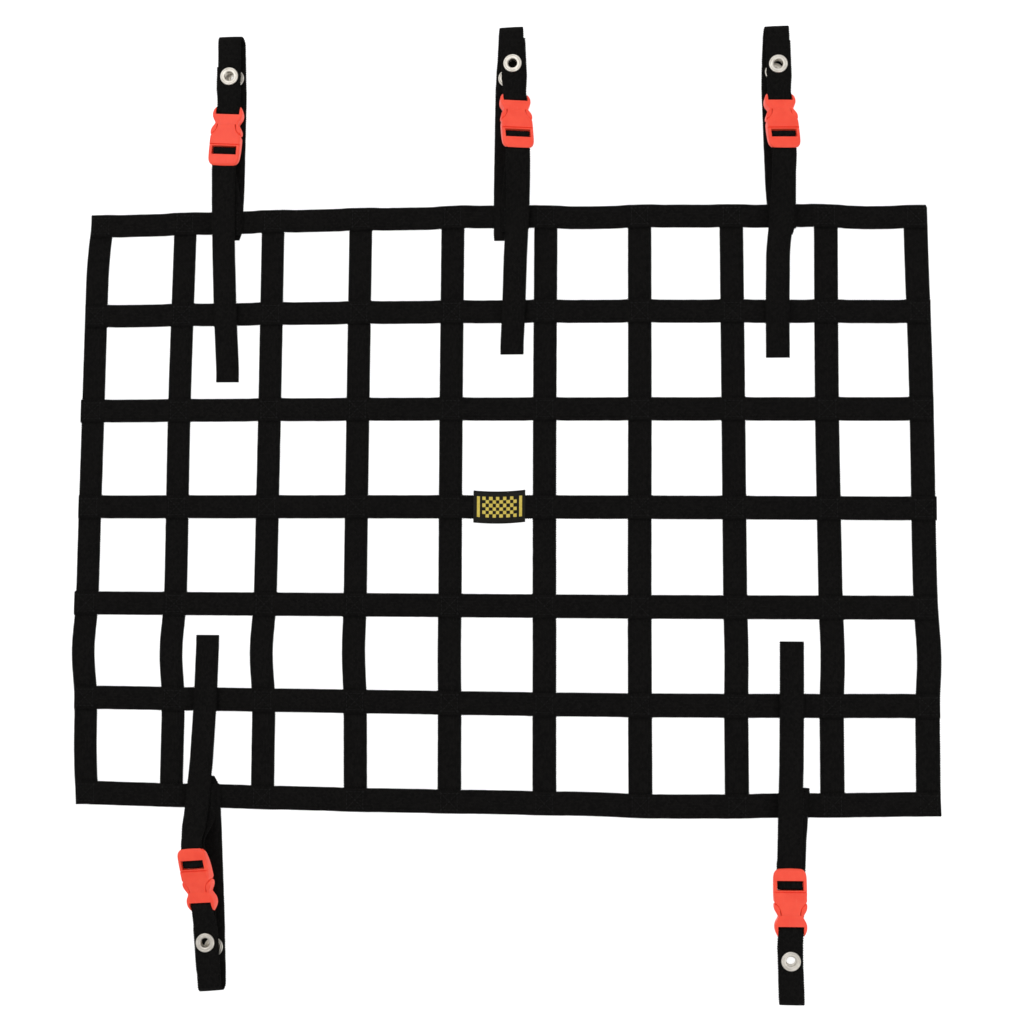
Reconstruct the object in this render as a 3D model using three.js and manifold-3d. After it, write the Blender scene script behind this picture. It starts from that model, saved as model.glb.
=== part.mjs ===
// A racing window net, laid flat with its outer face up: ten upright and seven cross webbing straps sewn
// where they cross, and five mounting straps on its long edges. Each mounting strap is a folded loop with a
// screw eyelet through each side, closed by a side-release buckle whose free tail lies back over the net.
// Millimetres. X runs along the long edge, Y up the net and Z away from the surface that the net lies on.
// The origin is on that surface, under the middle of the middle cross strap.
import * as THREE from "three";
import { mergeVertices } from "three/addons/utils/BufferGeometryUtils.js";
import Module from "manifold-3d";

const wasm = await Module();
wasm.setup();

// Webbing, and the space that is left between two pieces that touch
const WEB_WIDTH = 19;
const WEB_THICK = 1.5;
const TOUCH = 0.3;
const LAYER = WEB_THICK + TOUCH;
const ON_FLOOR = WEB_THICK / 2;

// The grid of the net. A cross strap is level over an upright, and is back on the surface further out.
const PITCH_X = 76.5;
const PITCH_Y = 80;
const LEVEL_TO = WEB_WIDTH / 2 + 1.8;
const LANDED_AT = 16.5;
const UPRIGHT_TRIM = 0.5;

// Sideways drift of each upright from its true line, at four heights, and its kink near the fifth crossing
const UPRIGHTS = [
  { top: 3.5, upper: 2.6, lower: 1.8, bottom: 3.6, kink: -3.4 },
  { top: 1.7, upper: -0.3, lower: 0.1, bottom: -0.1, kink: -3.0 },
  { top: 0.1, upper: -0.2, lower: -0.9, bottom: -0.5, kink: -2.8 },
  { top: -2.0, upper: -2.4, lower: -2.4, bottom: -0.2, kink: -1.4 },
  { top: -1.0, upper: -1.2, lower: -0.7, bottom: 0.2, kink: -0.4 },
  { top: 0, upper: -0.3, lower: 0.1, bottom: 0.8, kink: 0.1 },
  { top: 0.9, upper: 1.1, lower: 0.9, bottom: 1.5, kink: 0 },
  { top: -0.5, upper: 0.5, lower: 1.3, bottom: 2.0, kink: 0.6 },
  { top: -0.2, upper: -0.6, lower: 0.8, bottom: 0.9, kink: 1.2 },
  { top: -4.0, upper: -1.7, lower: -1.0, bottom: -0.5, kink: 1.9 },
];
const KINK_AT = -1.45 * PITCH_Y;
const KINK_SPREAD = 26;

// Drift of each cross strap up or down from its true line, at four places, and how far each end is trimmed
const CROSSBARS = [
  { left: -1.9, midLeft: 1.6, midRight: 0.6, right: -2.7, trimLeft: 0.2, trimRight: 0 },
  { left: 0.5, midLeft: 1.9, midRight: 1.3, right: -1.0, trimLeft: 0.8, trimRight: 0.6 },
  { left: 0.1, midLeft: 0.8, midRight: 0.3, right: -0.6, trimLeft: -0.5, trimRight: 0.4 },
  { left: -0.5, midLeft: -0.2, midRight: -0.4, right: -1.2, trimLeft: 0.3, trimRight: -0.6 },
  { left: -0.6, midLeft: -0.9, midRight: -1.3, right: -0.8, trimLeft: -0.4, trimRight: 0.5 },
  { left: 1.5, midLeft: 0.2, midRight: -0.6, right: 1.1, trimLeft: 0.9, trimRight: -0.3 },
  { left: 2.2, midLeft: 0.5, midRight: -0.8, right: 2.4, trimLeft: 0.4, trimRight: 0.2 },
];

// The five mounting straps. Local y runs outwards from the middle of the border strap and local x across.
// x, edge: where the loop is sewn, and 1 on the top border or -1 on the bottom one
// tuck, reach, flap: the loop's sewn end behind the border, its far fold and the end of its turned-in layer
// tailReach: the end of the adjuster's free tail; eyeFront, eyeBack: the two eyelets
// buckle, buckleSide, yaw, pitch, roll: the buckle's strap end, and how it lies, in degrees
// The other columns are places across, in the order in which the loop and then the adjuster pass them.
const MOUNTS = [
  {
    name: "top_left", x: -226, edge: 1,
    tuck: 16, reach: 157, flap: 131, tailReach: 136, eyeFront: 121, eyeBack: 122,
    buckle: 44, buckleSide: -4.6, yaw: 3.4, pitch: -5, roll: 0,
    backAtTuck: 0, backAtEye: 0.9, fold: -2, frontSide: -1.8,
    standing: -1.5, tailAtBorder: -4.4, tailMid: -2.8, tailEnd: -0.2,
  },
  {
    name: "top_middle", x: 4.7, edge: 1,
    tuck: 19, reach: 160, flap: 150, tailReach: 115, eyeFront: 127.5, eyeBack: 117.5,
    buckle: 50, buckleSide: 11, yaw: -5, pitch: -16, roll: -14,
    backAtTuck: 0, backAtEye: 2, fold: 5, frontSide: 6.6,
    standing: 6.5, tailAtBorder: 10.2, tailMid: 7.8, tailEnd: 6,
  },
  {
    name: "top_right", x: 229.5, edge: 1,
    tuck: 15, reach: 156, flap: 144, tailReach: 118, eyeFront: 122.5, eyeBack: 119.5,
    buckle: 47, buckleSide: 2.2, yaw: -3.2, pitch: -16, roll: -7,
    backAtTuck: 1, backAtEye: -3.2, fold: -1, frontSide: 0.1,
    standing: 4, tailAtBorder: 1.4, tailMid: -1.9, tailEnd: -1,
  },
  {
    name: "bottom_left", x: -235.2, edge: -1,
    tuck: 17, reach: 153, flap: 134, tailReach: 133, eyeFront: 113.5, eyeBack: 118.5,
    buckle: 37.4, buckleSide: 6.5, yaw: -9.5, pitch: -9.5, roll: -16,
    backAtTuck: 1, backAtEye: -6.4, fold: -6.7, frontSide: -2.4,
    standing: 4, tailAtBorder: 8.4, tailMid: 4.2, tailEnd: 3.8,
  },
  {
    name: "bottom_right", x: 239.8, edge: -1,
    tuck: 16, reach: 153.5, flap: 139, tailReach: 131, eyeFront: 118.5, eyeBack: 119,
    buckle: 48, buckleSide: 6.2, yaw: -0.6, pitch: 2, roll: 0,
    backAtTuck: -1.3, backAtEye: 3.8, fold: 4.4, frontSide: 6,
    standing: 1.2, tailAtBorder: 5, tailMid: 3.3, tailEnd: 2,
  },
];

// Heights of the webbing's middle along a mounting strap
const LOOP_SEWN = ON_FLOOR + LAYER;
const LOOP_EYELET = 2.1;
const LOOP_TOP = 10.4;
const LOOP_ROUND = (LOOP_TOP - ON_FLOOR) / 2;
const ADJUSTER_SEWN = ON_FLOOR + 2 * LAYER;
const TAIL_OVER_BORDER = 8.6;
const TAIL_IN_GAP = 7.4;
const TAIL_OVER_CROSSBAR = 5;
const TAIL_LANDING = ON_FLOOR + 0.2;

// Where a mounting strap leaves the border and lands, and the level stretches round its eyelets
const LOOP_LEAVES = 13;
const LOOP_LANDS = 26;
const ADJUSTER_TUCK = 12;
const ADJUSTER_LEAVES = 14;
const EYELET_LEVEL = 9.5;
const EYELET_RAMP = 15;
const FRONT_LEVEL = 10;
const TAIL_BEND = 10;
const TAIL_MID = 32;

// How gently the webbing bends
const STIFF_BEND = 60;
const SOFT_BEND = 12;
const TIGHT_BEND = 1.5;

// Eyelets
const EYELET_BORE = 3.75;
const EYELET_BARREL = 4.6;
const EYELET_RIM = 8;
const EYELET_HOLE = 5.1;
const FLANGE = 1;
const FLANGE_EDGE = 0.5;
const FLANGE_ROUND = 0.9;
const ROUND_STEPS = 12;

// The side-release buckle, lying along local y from its strap end, with its underside at local z 0
const BUCKLE = {
  length: 50, halfWidth: 13.1, height: 9.5, seat: 1.9,
  slotHalf: 9.9, windowNear: 9.2, windowFar: 15, windowRim: 16.8, rimFrom: 4.4, endBarUnder: 7,
  gripNear: 9.8, gripFar: 12.6, gripUnder: 2.8, gripTop: 4.7,
  cavityNear: 18.4, cavityHalf: 10.9, floorTop: 1.9, roofUnder: 7.6, mouth: 35.2,
  plugFace: 35.5, plugUnder: 0.7, plugTop: 8.8, slotNear: 44.1,
  barNear: 46.7, barFar: 48.7, barUnder: 3.65, barTop: 5.85,
  prongGap: 0.4, guideHalf: 2, guideNear: 21.7, guideUnder: 3.4, guideTop: 6.1,
};
// How far one solid runs into another, or a cut past a face, so that they join or cut cleanly
const BITE = 1;
const NICK = 0.1;

// The webbing's middle where it turns round the socket's grip bar and round the plug's bar
const GRIP_WRAP = { turn: 13.9, low: 1.6, high: 5.9, underFrom: -4, overTo: -3 };
const BAR_WRAP = { turn: 45.45, low: 2.35, high: 7.15, overFrom: 49.95, underTo: 49.45 };

// The woven label on the middle cross strap
const LABEL = { width: 40.8, height: 25.4, thick: 0.6, x: 1.1, droop: 0.7, overhang: 1.2 };

const finish = (name, color, roughness, metalness = 0) =>
  new THREE.MeshStandardMaterial({ name, color, roughness, metalness });
const cloth = finish("webbing", 0x111112, 0.92);
const plastic = finish("buckle", 0xf2452f, 0.45);
const nickel = finish("eyelet", 0xc9c6bf, 0.3, 1);
const woven = finish("label", 0x1a1a18, 0.85);

const rad = THREE.MathUtils.degToRad;
const spot = (x, y, z) => new THREE.Vector3(x, y, z);
const TURN_STEP = rad(30);
const LONGEST_PIECE = 26;
const SHORTEST_PIECE = 0.01;

// A smooth function through rows of { at, to }, which runs on straight past its two ends
function flow(rows) {
  const sorted = [...rows].sort((a, b) => a.at - b.at);
  const last = sorted.length - 1;
  const slopes = sorted.map((_, i) => {
    const a = sorted[Math.max(i - 1, 0)];
    const b = sorted[Math.min(i + 1, last)];
    return (b.to - a.to) / (b.at - a.at);
  });
  return (t) => {
    if (t <= sorted[0].at) return sorted[0].to + slopes[0] * (t - sorted[0].at);
    if (t >= sorted[last].at) return sorted[last].to + slopes[last] * (t - sorted[last].at);
    const i = sorted.findIndex((row) => row.at > t) - 1;
    const a = sorted[i];
    const b = sorted[i + 1];
    const span = b.at - a.at;
    const u = (t - a.at) / span;
    const v = 1 - u;
    return (
      a.to * (1 + 2 * u) * v * v + b.to * u * u * (3 - 2 * u) +
      span * (slopes[i] * u * v * v - slopes[i + 1] * u * u * v)
    );
  };
}

// A strip of webbing through stations of { point, side }: side is the unit vector across the strip.
function strip(stations, width = WEB_WIDTH, thick = WEB_THICK) {
  const positions = [];
  const index = [];
  stations.forEach(({ point, side }, i) => {
    const before = stations[Math.max(i - 1, 0)].point;
    const after = stations[Math.min(i + 1, stations.length - 1)].point;
    const arriving = (i > 0 ? point.clone().sub(before) : after.clone().sub(point)).normalize();
    const leaving = (i < stations.length - 1 ? after.clone().sub(point) : arriving.clone()).normalize();
    const mitre = 1 / Math.cos(arriving.angleTo(leaving) / 2);
    const up = side.clone().cross(arriving.add(leaving)).setLength((thick / 2) * mitre);
    const across = side.clone().multiplyScalar(width / 2);
    for (const [a, b] of [[-1, -1], [1, -1], [1, 1], [-1, 1]]) {
      const corner = point.clone().addScaledVector(across, a).addScaledVector(up, b);
      positions.push(corner.x, corner.y, corner.z);
    }
  });
  const quad = (a, b, c, d) => index.push(a, b, c, a, c, d);
  for (let i = 0; i < stations.length - 1; i++) {
    for (let k = 0; k < 4; k++) {
      const next = (k + 1) % 4;
      quad(4 * i + k, 4 * i + 4 + k, 4 * i + 4 + next, 4 * i + next);
    }
  }
  const end = 4 * (stations.length - 1);
  quad(0, 1, 2, 3);
  quad(end + 3, end + 2, end + 1, end);
  const geometry = new THREE.BufferGeometry();
  geometry.setAttribute("position", new THREE.Float32BufferAttribute(positions, 3));
  geometry.setIndex(index);
  geometry.computeVertexNormals();
  return geometry;
}

// Webbing along rows of { at, side, round }. Each bend is rounded. Without a side it lies level.
function webbing(rows) {
  const stations = [];
  const add = (point, side) => {
    const last = stations[stations.length - 1];
    const step = last ? point.distanceTo(last.point) : LONGEST_PIECE;
    if (step < SHORTEST_PIECE) return;
    const pieces = Math.ceil(step / LONGEST_PIECE);
    for (let k = 1; k < pieces; k++) {
      const between = last.point.clone().lerp(point, k / pieces);
      const turned = last.side.clone().lerp(side, k / pieces).normalize();
      stations.push({ point: between, side: turned });
    }
    stations.push({ point, side });
  };
  rows.forEach(({ at, side, round }, i) => {
    const before = rows[Math.max(i - 1, 0)].at;
    const after = rows[Math.min(i + 1, rows.length - 1)].at;
    const run = after.clone().sub(before);
    const across = side ?? spot(Math.abs(run.y), -run.x * Math.sign(run.y), 0).normalize();
    if (!round || i === 0 || i === rows.length - 1) return add(at, across);
    const arrive = at.clone().sub(before).normalize();
    const leave = after.clone().sub(at).normalize();
    const turn = arrive.angleTo(leave);
    const axis = arrive.clone().cross(leave).normalize();
    const start = at.clone().addScaledVector(arrive, -round * Math.tan(turn / 2));
    const toStart = arrive.clone().cross(axis).multiplyScalar(round);
    const centre = start.clone().sub(toStart);
    const steps = Math.max(1, Math.ceil(turn / TURN_STEP - 1e-6));
    for (let k = 0; k <= steps; k++) {
      add(centre.clone().add(toStart.clone().applyAxisAngle(axis, (turn * k) / steps)), across);
    }
  });
  return strip(stations);
}

const solid = (geometry) => {
  const bare = geometry.clone();
  bare.deleteAttribute("normal");
  bare.deleteAttribute("uv");
  const merged = mergeVertices(bare, 1e-4);
  const vertProperties = new Float32Array(merged.attributes.position.array);
  const triVerts = new Uint32Array(merged.index.array);
  return new wasm.Manifold(new wasm.Mesh({ numProp: 3, vertProperties, triVerts }));
};

const geometryOf = (shape) => {
  const { vertProperties, triVerts } = shape.getMesh();
  const geometry = new THREE.BufferGeometry();
  geometry.setAttribute("position", new THREE.Float32BufferAttribute(vertProperties, 3));
  geometry.setIndex(new THREE.Uint32BufferAttribute(triVerts, 1));
  geometry.computeVertexNormals();
  return geometry;
};

const block = (x0, x1, y0, y1, z0, z1) => {
  const box = new THREE.BoxGeometry(x1 - x0, y1 - y0, z1 - z0);
  return solid(box.translate((x0 + x1) / 2, (y0 + y1) / 2, (z0 + z1) / 2));
};

const plate = (shape, z0, z1) =>
  solid(new THREE.ExtrudeGeometry(shape, { depth: z1 - z0, bevelEnabled: false }).translate(0, 0, z0));

// An outline that is the same on both sides of local y: draw traces its right half, from middle to middle.
function mirrored(draw) {
  const half = new THREE.Path();
  draw(half);
  const right = half.getPoints(4);
  const left = [...right].reverse().map((p) => new THREE.Vector2(-p.x, p.y));
  return new THREE.Shape([...right, ...left]);
}

// Where each upright and cross strap runs
const uprightX = UPRIGHTS.map((row, i) => {
  const drift = flow([
    { at: 3 * PITCH_Y, to: row.top },
    { at: PITCH_Y, to: row.upper },
    { at: -PITCH_Y, to: row.lower },
    { at: -3 * PITCH_Y, to: row.bottom },
  ]);
  const trueX = (i - (UPRIGHTS.length - 1) / 2) * PITCH_X;
  return (y) => trueX + drift(y) + row.kink * Math.exp(-(((y - KINK_AT) / KINK_SPREAD) ** 2));
});

const crossbarY = CROSSBARS.map((row, j) => {
  const outer = 4.5 * PITCH_X;
  const inner = 1.5 * PITCH_X;
  const drift = flow([
    { at: -outer, to: row.left },
    { at: -inner, to: row.midLeft },
    { at: inner, to: row.midRight },
    { at: outer, to: row.right },
  ]);
  const trueY = ((CROSSBARS.length - 1) / 2 - j) * PITCH_Y;
  return (x) => trueY + drift(x);
});

function upright(i) {
  const along = uprightX[i];
  const trim = WEB_WIDTH / 2 - UPRIGHT_TRIM;
  const high = crossbarY[0](along(3 * PITCH_Y)) + trim;
  const low = crossbarY[CROSSBARS.length - 1](along(-3 * PITCH_Y)) - trim;
  const inner = CROSSBARS.slice(1, -1).map((_, j) => (2 - j) * PITCH_Y);
  const spans = [high, ...inner, low];
  const ys = spans.flatMap((y, k) => (k < spans.length - 1 ? [y, (y + spans[k + 1]) / 2] : [y]));
  const stations = ys.map((y) => {
    const lean = (along(y + 1) - along(y - 1)) / 2;
    return { point: spot(along(y), y, ON_FLOOR), side: spot(-1, lean, 0).normalize() };
  });
  return strip(stations);
}

// A cross strap lies on the surface between two uprights and rises over each of them.
function crossbar(j) {
  const along = crossbarY[j];
  const crossings = uprightX.map((x) => x(along(x(0))));
  const last = crossings.length - 1;
  const { trimLeft, trimRight } = CROSSBARS[j];
  const raised = ON_FLOOR + LAYER;
  const marks = crossings.flatMap((x, i) => [
    ...(i > 0 ? [[x - LANDED_AT, ON_FLOOR]] : []),
    i > 0 ? [x - LEVEL_TO, raised] : [x - WEB_WIDTH / 2 + trimLeft, raised],
    i < last ? [x + LEVEL_TO, raised] : [x + WEB_WIDTH / 2 - trimRight, raised],
    ...(i < last ? [[x + LANDED_AT, ON_FLOOR]] : []),
  ]);
  const stations = marks.map(([x, z]) => {
    const climb = (along(x + 1) - along(x - 1)) / 2;
    return { point: spot(x, along(x), z), side: spot(climb, -1, 0).normalize() };
  });
  return strip(stations);
}

// The buckle's own frame on its mounting strap: its lowest corner is just over the loop's back layer.
function buckleFrame(m) {
  const endDroop = Math.max(0, -Math.sin(rad(m.pitch))) * BUCKLE.length;
  const sideDroop = Math.abs(Math.sin(rad(m.roll))) * BUCKLE.halfWidth;
  const frame = new THREE.Object3D();
  frame.rotation.set(rad(m.pitch), -rad(m.roll), -rad(m.yaw), "ZXY");
  frame.position.set(m.buckleSide, m.buckle, BUCKLE.seat + endDroop + sideDroop);
  frame.updateMatrix();
  const side = spot(1, 0, 0).applyEuler(frame.rotation);
  const inside = (s, z, round) => ({ at: spot(0, s, z).applyMatrix4(frame.matrix), side, round });
  return { frame, inside };
}

const eyeletHole = (x, y, z0, z1) => {
  const drill = new THREE.CylinderGeometry(EYELET_HOLE, EYELET_HOLE, z1 - z0, ROUND_STEPS);
  return solid(drill.rotateX(Math.PI / 2).translate(x, y, (z0 + z1) / 2));
};

// The loop's back layer runs straight from the border to its eyelet, and from there to the far fold
function backSide(m, y) {
  if (y < m.eyeBack) return (m.backAtEye * y) / m.eyeBack;
  return m.backAtEye + ((m.fold - m.backAtEye) * (y - m.eyeBack)) / (m.reach - m.eyeBack);
}

// Its front layer runs straight from the far fold to where it dips into the buckle
function frontSide(m, y) {
  const from = m.eyeFront - FRONT_LEVEL;
  return m.frontSide + ((m.fold - m.frontSide) * (y - from)) / (m.reach - from);
}

// Sewn to the border, out along the surface, over the far fold, back to the plug and turned in under itself
function loopStrap(m) {
  const { inside } = buckleFrame(m);
  const foldAt = m.reach - WEB_THICK / 2;
  const straight = foldAt - LOOP_ROUND;
  const lean = Math.atan((m.frontSide - m.fold) / (straight - m.eyeFront)) - Math.atan(m.fold / straight);
  const foldSide = spot(Math.cos(lean / 2), Math.sin(lean / 2), 0);
  const onBack = (y, z, round) => ({ at: spot(backSide(m, y), y, z), round });
  const onFront = (y, z, round) => ({ at: spot(frontSide(m, y), y, z), round });
  const rows = [
    { at: spot(m.backAtTuck, -m.tuck, LOOP_SEWN) },
    onBack(LOOP_LEAVES, LOOP_SEWN, SOFT_BEND),
    onBack(LOOP_LANDS, ON_FLOOR, SOFT_BEND),
    onBack(m.eyeBack - EYELET_RAMP, ON_FLOOR),
    onBack(m.eyeBack - EYELET_LEVEL, LOOP_EYELET),
    onBack(m.eyeBack + EYELET_LEVEL, LOOP_EYELET),
    onBack(m.eyeBack + EYELET_RAMP, ON_FLOOR),
    { at: spot(m.fold, foldAt, ON_FLOOR), side: foldSide, round: LOOP_ROUND },
    { at: spot(m.fold, foldAt, LOOP_TOP), side: foldSide, round: LOOP_ROUND },
    onFront(m.eyeFront - FRONT_LEVEL, LOOP_TOP, SOFT_BEND - 2),
    inside(BAR_WRAP.overFrom, BAR_WRAP.high, SOFT_BEND - 4),
    inside(BAR_WRAP.turn, BAR_WRAP.high, TIGHT_BEND),
    inside(BAR_WRAP.turn, BAR_WRAP.low, TIGHT_BEND),
    inside(BAR_WRAP.underTo, BAR_WRAP.low, SOFT_BEND - 8),
    onFront(m.eyeFront - FRONT_LEVEL, LOOP_TOP - LAYER, SOFT_BEND - 4),
    onFront(m.flap, LOOP_TOP - LAYER),
  ];
  const holes = [
    eyeletHole(backSide(m, m.eyeBack), m.eyeBack, 0, 2 * LOOP_EYELET),
    eyeletHole(frontSide(m, m.eyeFront), m.eyeFront, LOOP_TOP - 2 * LAYER, LOOP_TOP + LAYER),
  ];
  return geometryOf(holes.reduce((web, hole) => web.subtract(hole), solid(webbing(rows))));
}

// Sewn on top of the loop strap, out to the buckle's grip bar, round it, and back over the net as a free tail
function adjusterStrap(m) {
  const { inside } = buckleFrame(m);
  return webbing([
    { at: spot(m.standing, -ADJUSTER_TUCK, ADJUSTER_SEWN) },
    { at: spot(m.standing, ADJUSTER_LEAVES, ADJUSTER_SEWN), round: SOFT_BEND },
    inside(GRIP_WRAP.underFrom, GRIP_WRAP.low, SOFT_BEND),
    inside(GRIP_WRAP.turn, GRIP_WRAP.low, TIGHT_BEND),
    inside(GRIP_WRAP.turn, GRIP_WRAP.high, TIGHT_BEND),
    inside(GRIP_WRAP.overTo, GRIP_WRAP.high, STIFF_BEND / 3),
    { at: spot(m.tailAtBorder, TAIL_BEND, TAIL_OVER_BORDER), round: STIFF_BEND },
    { at: spot(m.tailMid, -TAIL_MID, TAIL_IN_GAP), round: STIFF_BEND },
    { at: spot((m.tailMid + m.tailEnd) / 2, -PITCH_Y, TAIL_OVER_CROSSBAR), round: STIFF_BEND },
    { at: spot(m.tailEnd, TAIL_BEND - m.tailReach, TAIL_LANDING), round: STIFF_BEND / 2 },
    { at: spot(m.tailEnd, -m.tailReach, ON_FLOOR) },
  ]);
}

// The half that holds the tail: a hollow shell, open where the plug enters, with a grip bar in its window
function buckleSocket() {
  const b = BUCKLE;
  const outline = mirrored((path) => {
    path.moveTo(0, 0);
    path.lineTo(9.2, 0);
    path.quadraticCurveTo(12.6, 0, b.halfWidth - 0.2, 4.5);
    path.lineTo(b.halfWidth, 14);
    path.lineTo(b.halfWidth - 0.5, 25.6);
    path.quadraticCurveTo(8.2, 27.6, 7.4, b.mouth);
  });
  const sink = new THREE.Shape([
    new THREE.Vector2(b.windowFar - 2 * NICK, b.rimFrom),
    new THREE.Vector2(b.windowRim, b.height + NICK),
    new THREE.Vector2(b.windowFar - 2 * NICK, b.height + NICK),
  ]);
  const sunkRim = new THREE.ExtrudeGeometry(sink, { depth: 2 * b.slotHalf, bevelEnabled: false })
    .rotateY(Math.PI / 2)
    .rotateX(Math.PI / 2)
    .translate(-b.slotHalf, 0, 0);
  const cavity = block(-b.cavityHalf, b.cavityHalf, b.cavityNear, b.mouth + BITE, b.floorTop, b.roofUnder);
  const window = block(-b.slotHalf, b.slotHalf, b.windowNear, b.windowFar, -BITE, b.height + BITE);
  const strapSlot = block(-b.slotHalf, b.slotHalf, -BITE, b.windowNear + NICK, -BITE, b.endBarUnder);
  const gripHalf = b.slotHalf + BITE;
  return geometryOf(
    plate(outline, 0, b.height)
      .subtract(cavity)
      .subtract(window)
      .subtract(solid(sunkRim))
      .subtract(strapSlot)
      .add(block(-gripHalf, gripHalf, b.gripNear, b.gripFar, b.gripUnder, b.gripTop)),
  );
}

// The half that the loop holds: a horned base with a bar, two springy side prongs and a middle guide
function bucklePlug() {
  const b = BUCKLE;
  const base = mirrored((path) => {
    path.moveTo(0, b.plugFace);
    path.lineTo(9.9, b.plugFace);
    path.quadraticCurveTo(10.4, 38.6, 12, 41.8);
    path.quadraticCurveTo(13, 46, 11, b.length);
    path.lineTo(b.slotHalf, b.length - 0.8);
    path.lineTo(b.slotHalf, b.slotNear);
    path.lineTo(0, b.slotNear);
  });
  const prongPoints = [
    { x: 7.9, y: 35.8 }, { x: 9.9, y: 35.8 }, { x: 11.4, y: 33.1 }, { x: 12.4, y: 30.6 },
    { x: 12.2, y: 28.5 }, { x: 10.4, y: 28 }, { x: 10.4, y: 23.3 }, { x: 9.3, y: 21.6 },
    { x: 8.4, y: 22.6 }, { x: 8.7, y: 28.3 }, { x: 8.1, y: 32.1 },
  ];
  const prong = (flip) => new THREE.Shape(prongPoints.map(({ x, y }) => new THREE.Vector2(flip * x, y)));
  const prongs = [-1, 1].map((flip) => plate(prong(flip), b.floorTop + b.prongGap, b.roofUnder - b.prongGap));
  const barHalf = b.slotHalf + BITE;
  return geometryOf(
    plate(base, b.plugUnder, b.plugTop)
      .add(prongs[0])
      .add(prongs[1])
      .add(block(-b.guideHalf, b.guideHalf, b.guideNear, b.plugFace + BITE, b.guideUnder, b.guideTop))
      .add(block(-barHalf, barHalf, b.barNear, b.barFar, b.barUnder, b.barTop)),
  );
}

// A crimped eyelet round its own axis: grip is the height of the cloth that its two flanges hold
function eyelet(grip) {
  const inside = grip / 2 + TOUCH;
  const top = inside + FLANGE;
  const profile = [
    [EYELET_BORE, -top],
    [EYELET_RIM - FLANGE_ROUND, -top],
    [EYELET_RIM, FLANGE_EDGE - top],
    [EYELET_RIM, -inside],
    [EYELET_BARREL, -inside],
    [EYELET_BARREL, inside],
    [EYELET_RIM, inside],
    [EYELET_RIM, top - FLANGE_EDGE],
    [EYELET_RIM - FLANGE_ROUND, top],
    [EYELET_BORE, top],
    [EYELET_BORE, -top],
  ].map(([r, z]) => new THREE.Vector2(r, z));
  return new THREE.LatheGeometry(profile, ROUND_STEPS).rotateX(Math.PI / 2);
}

// The label lies over the middle cross strap, and its two long edges droop a little past it.
function label() {
  const { width, height, thick, droop, overhang } = LABEL;
  const z = LAYER + thick / 2;
  const level = WEB_WIDTH / 2 + overhang;
  const rows = [[height / 2, z - droop], [level, z], [0, z], [-level, z], [-height / 2, z - droop]];
  return strip(rows.map(([y, h]) => ({ point: spot(0, y, h), side: spot(-1, 0, 0) })), width, thick);
}

const net = new THREE.Group();
const addTo = (group, name, geometry, material) => {
  const mesh = new THREE.Mesh(geometry, material);
  mesh.name = name;
  group.add(mesh);
  return mesh;
};

UPRIGHTS.forEach((_, i) => addTo(net, `upright_${i + 1}`, upright(i), cloth));
CROSSBARS.forEach((_, j) => addTo(net, `crossbar_${j + 1}`, crossbar(j), cloth));
addTo(net, "label", label(), woven).position.set(LABEL.x, crossbarY[3](LABEL.x), 0);

for (const m of MOUNTS) {
  const group = new THREE.Group();
  group.position.set(m.x, m.edge * 3 * PITCH_Y, 0);
  group.rotation.z = m.edge > 0 ? 0 : Math.PI;
  net.add(group);
  addTo(group, `loop_strap_${m.name}`, loopStrap(m), cloth);
  addTo(group, `adjuster_strap_${m.name}`, adjusterStrap(m), cloth);

  const { frame } = buckleFrame(m);
  group.add(frame);
  addTo(frame, `buckle_socket_${m.name}`, buckleSocket(), plastic);
  addTo(frame, `buckle_plug_${m.name}`, bucklePlug(), plastic);

  const frontEye = addTo(group, `eyelet_front_${m.name}`, eyelet(WEB_THICK + LAYER), nickel);
  frontEye.position.set(frontSide(m, m.eyeFront), m.eyeFront, LOOP_TOP - LAYER / 2);
  const backEye = addTo(group, `eyelet_back_${m.name}`, eyelet(WEB_THICK), nickel);
  backEye.position.set(backSide(m, m.eyeBack), m.eyeBack, LOOP_EYELET);
}

export default net;
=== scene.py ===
"""The looks of a racing window net that lies flat: woven straps, stitching, buckles, eyelets and a label.

Shapes are worked out in millimetres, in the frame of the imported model, and become metres in each mesh.
"""

import math

import bmesh
import bpy
import numpy as np
from mathutils import Matrix, Vector


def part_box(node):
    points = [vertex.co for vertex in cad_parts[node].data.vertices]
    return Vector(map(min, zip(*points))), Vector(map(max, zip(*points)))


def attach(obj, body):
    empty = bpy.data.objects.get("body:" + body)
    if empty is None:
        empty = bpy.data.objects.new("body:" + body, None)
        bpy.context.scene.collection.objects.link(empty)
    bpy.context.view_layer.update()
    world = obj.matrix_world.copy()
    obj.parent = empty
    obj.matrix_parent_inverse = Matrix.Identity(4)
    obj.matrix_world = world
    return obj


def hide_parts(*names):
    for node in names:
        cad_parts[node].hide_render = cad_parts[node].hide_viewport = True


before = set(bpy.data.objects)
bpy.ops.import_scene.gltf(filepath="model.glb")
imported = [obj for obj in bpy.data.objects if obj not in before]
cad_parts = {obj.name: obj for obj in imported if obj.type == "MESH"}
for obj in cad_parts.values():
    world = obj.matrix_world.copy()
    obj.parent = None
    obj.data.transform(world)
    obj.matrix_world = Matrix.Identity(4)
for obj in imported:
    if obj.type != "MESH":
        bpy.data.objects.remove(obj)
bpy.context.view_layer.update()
MM = 0.001
BODY = "root"

# The camera, fitted to the grid of the net in the photograph
CAMERA_PLACE = Vector((94.2, -88.3, 1194.1))
CAMERA_LOOKS = Vector((-0.069, 0.07, -0.9952))
CAMERA_UP = Vector((-0.0011, 0.9975, 0.0703))
CAMERA_LENS = 51.45
SENSOR = 36.0

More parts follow.
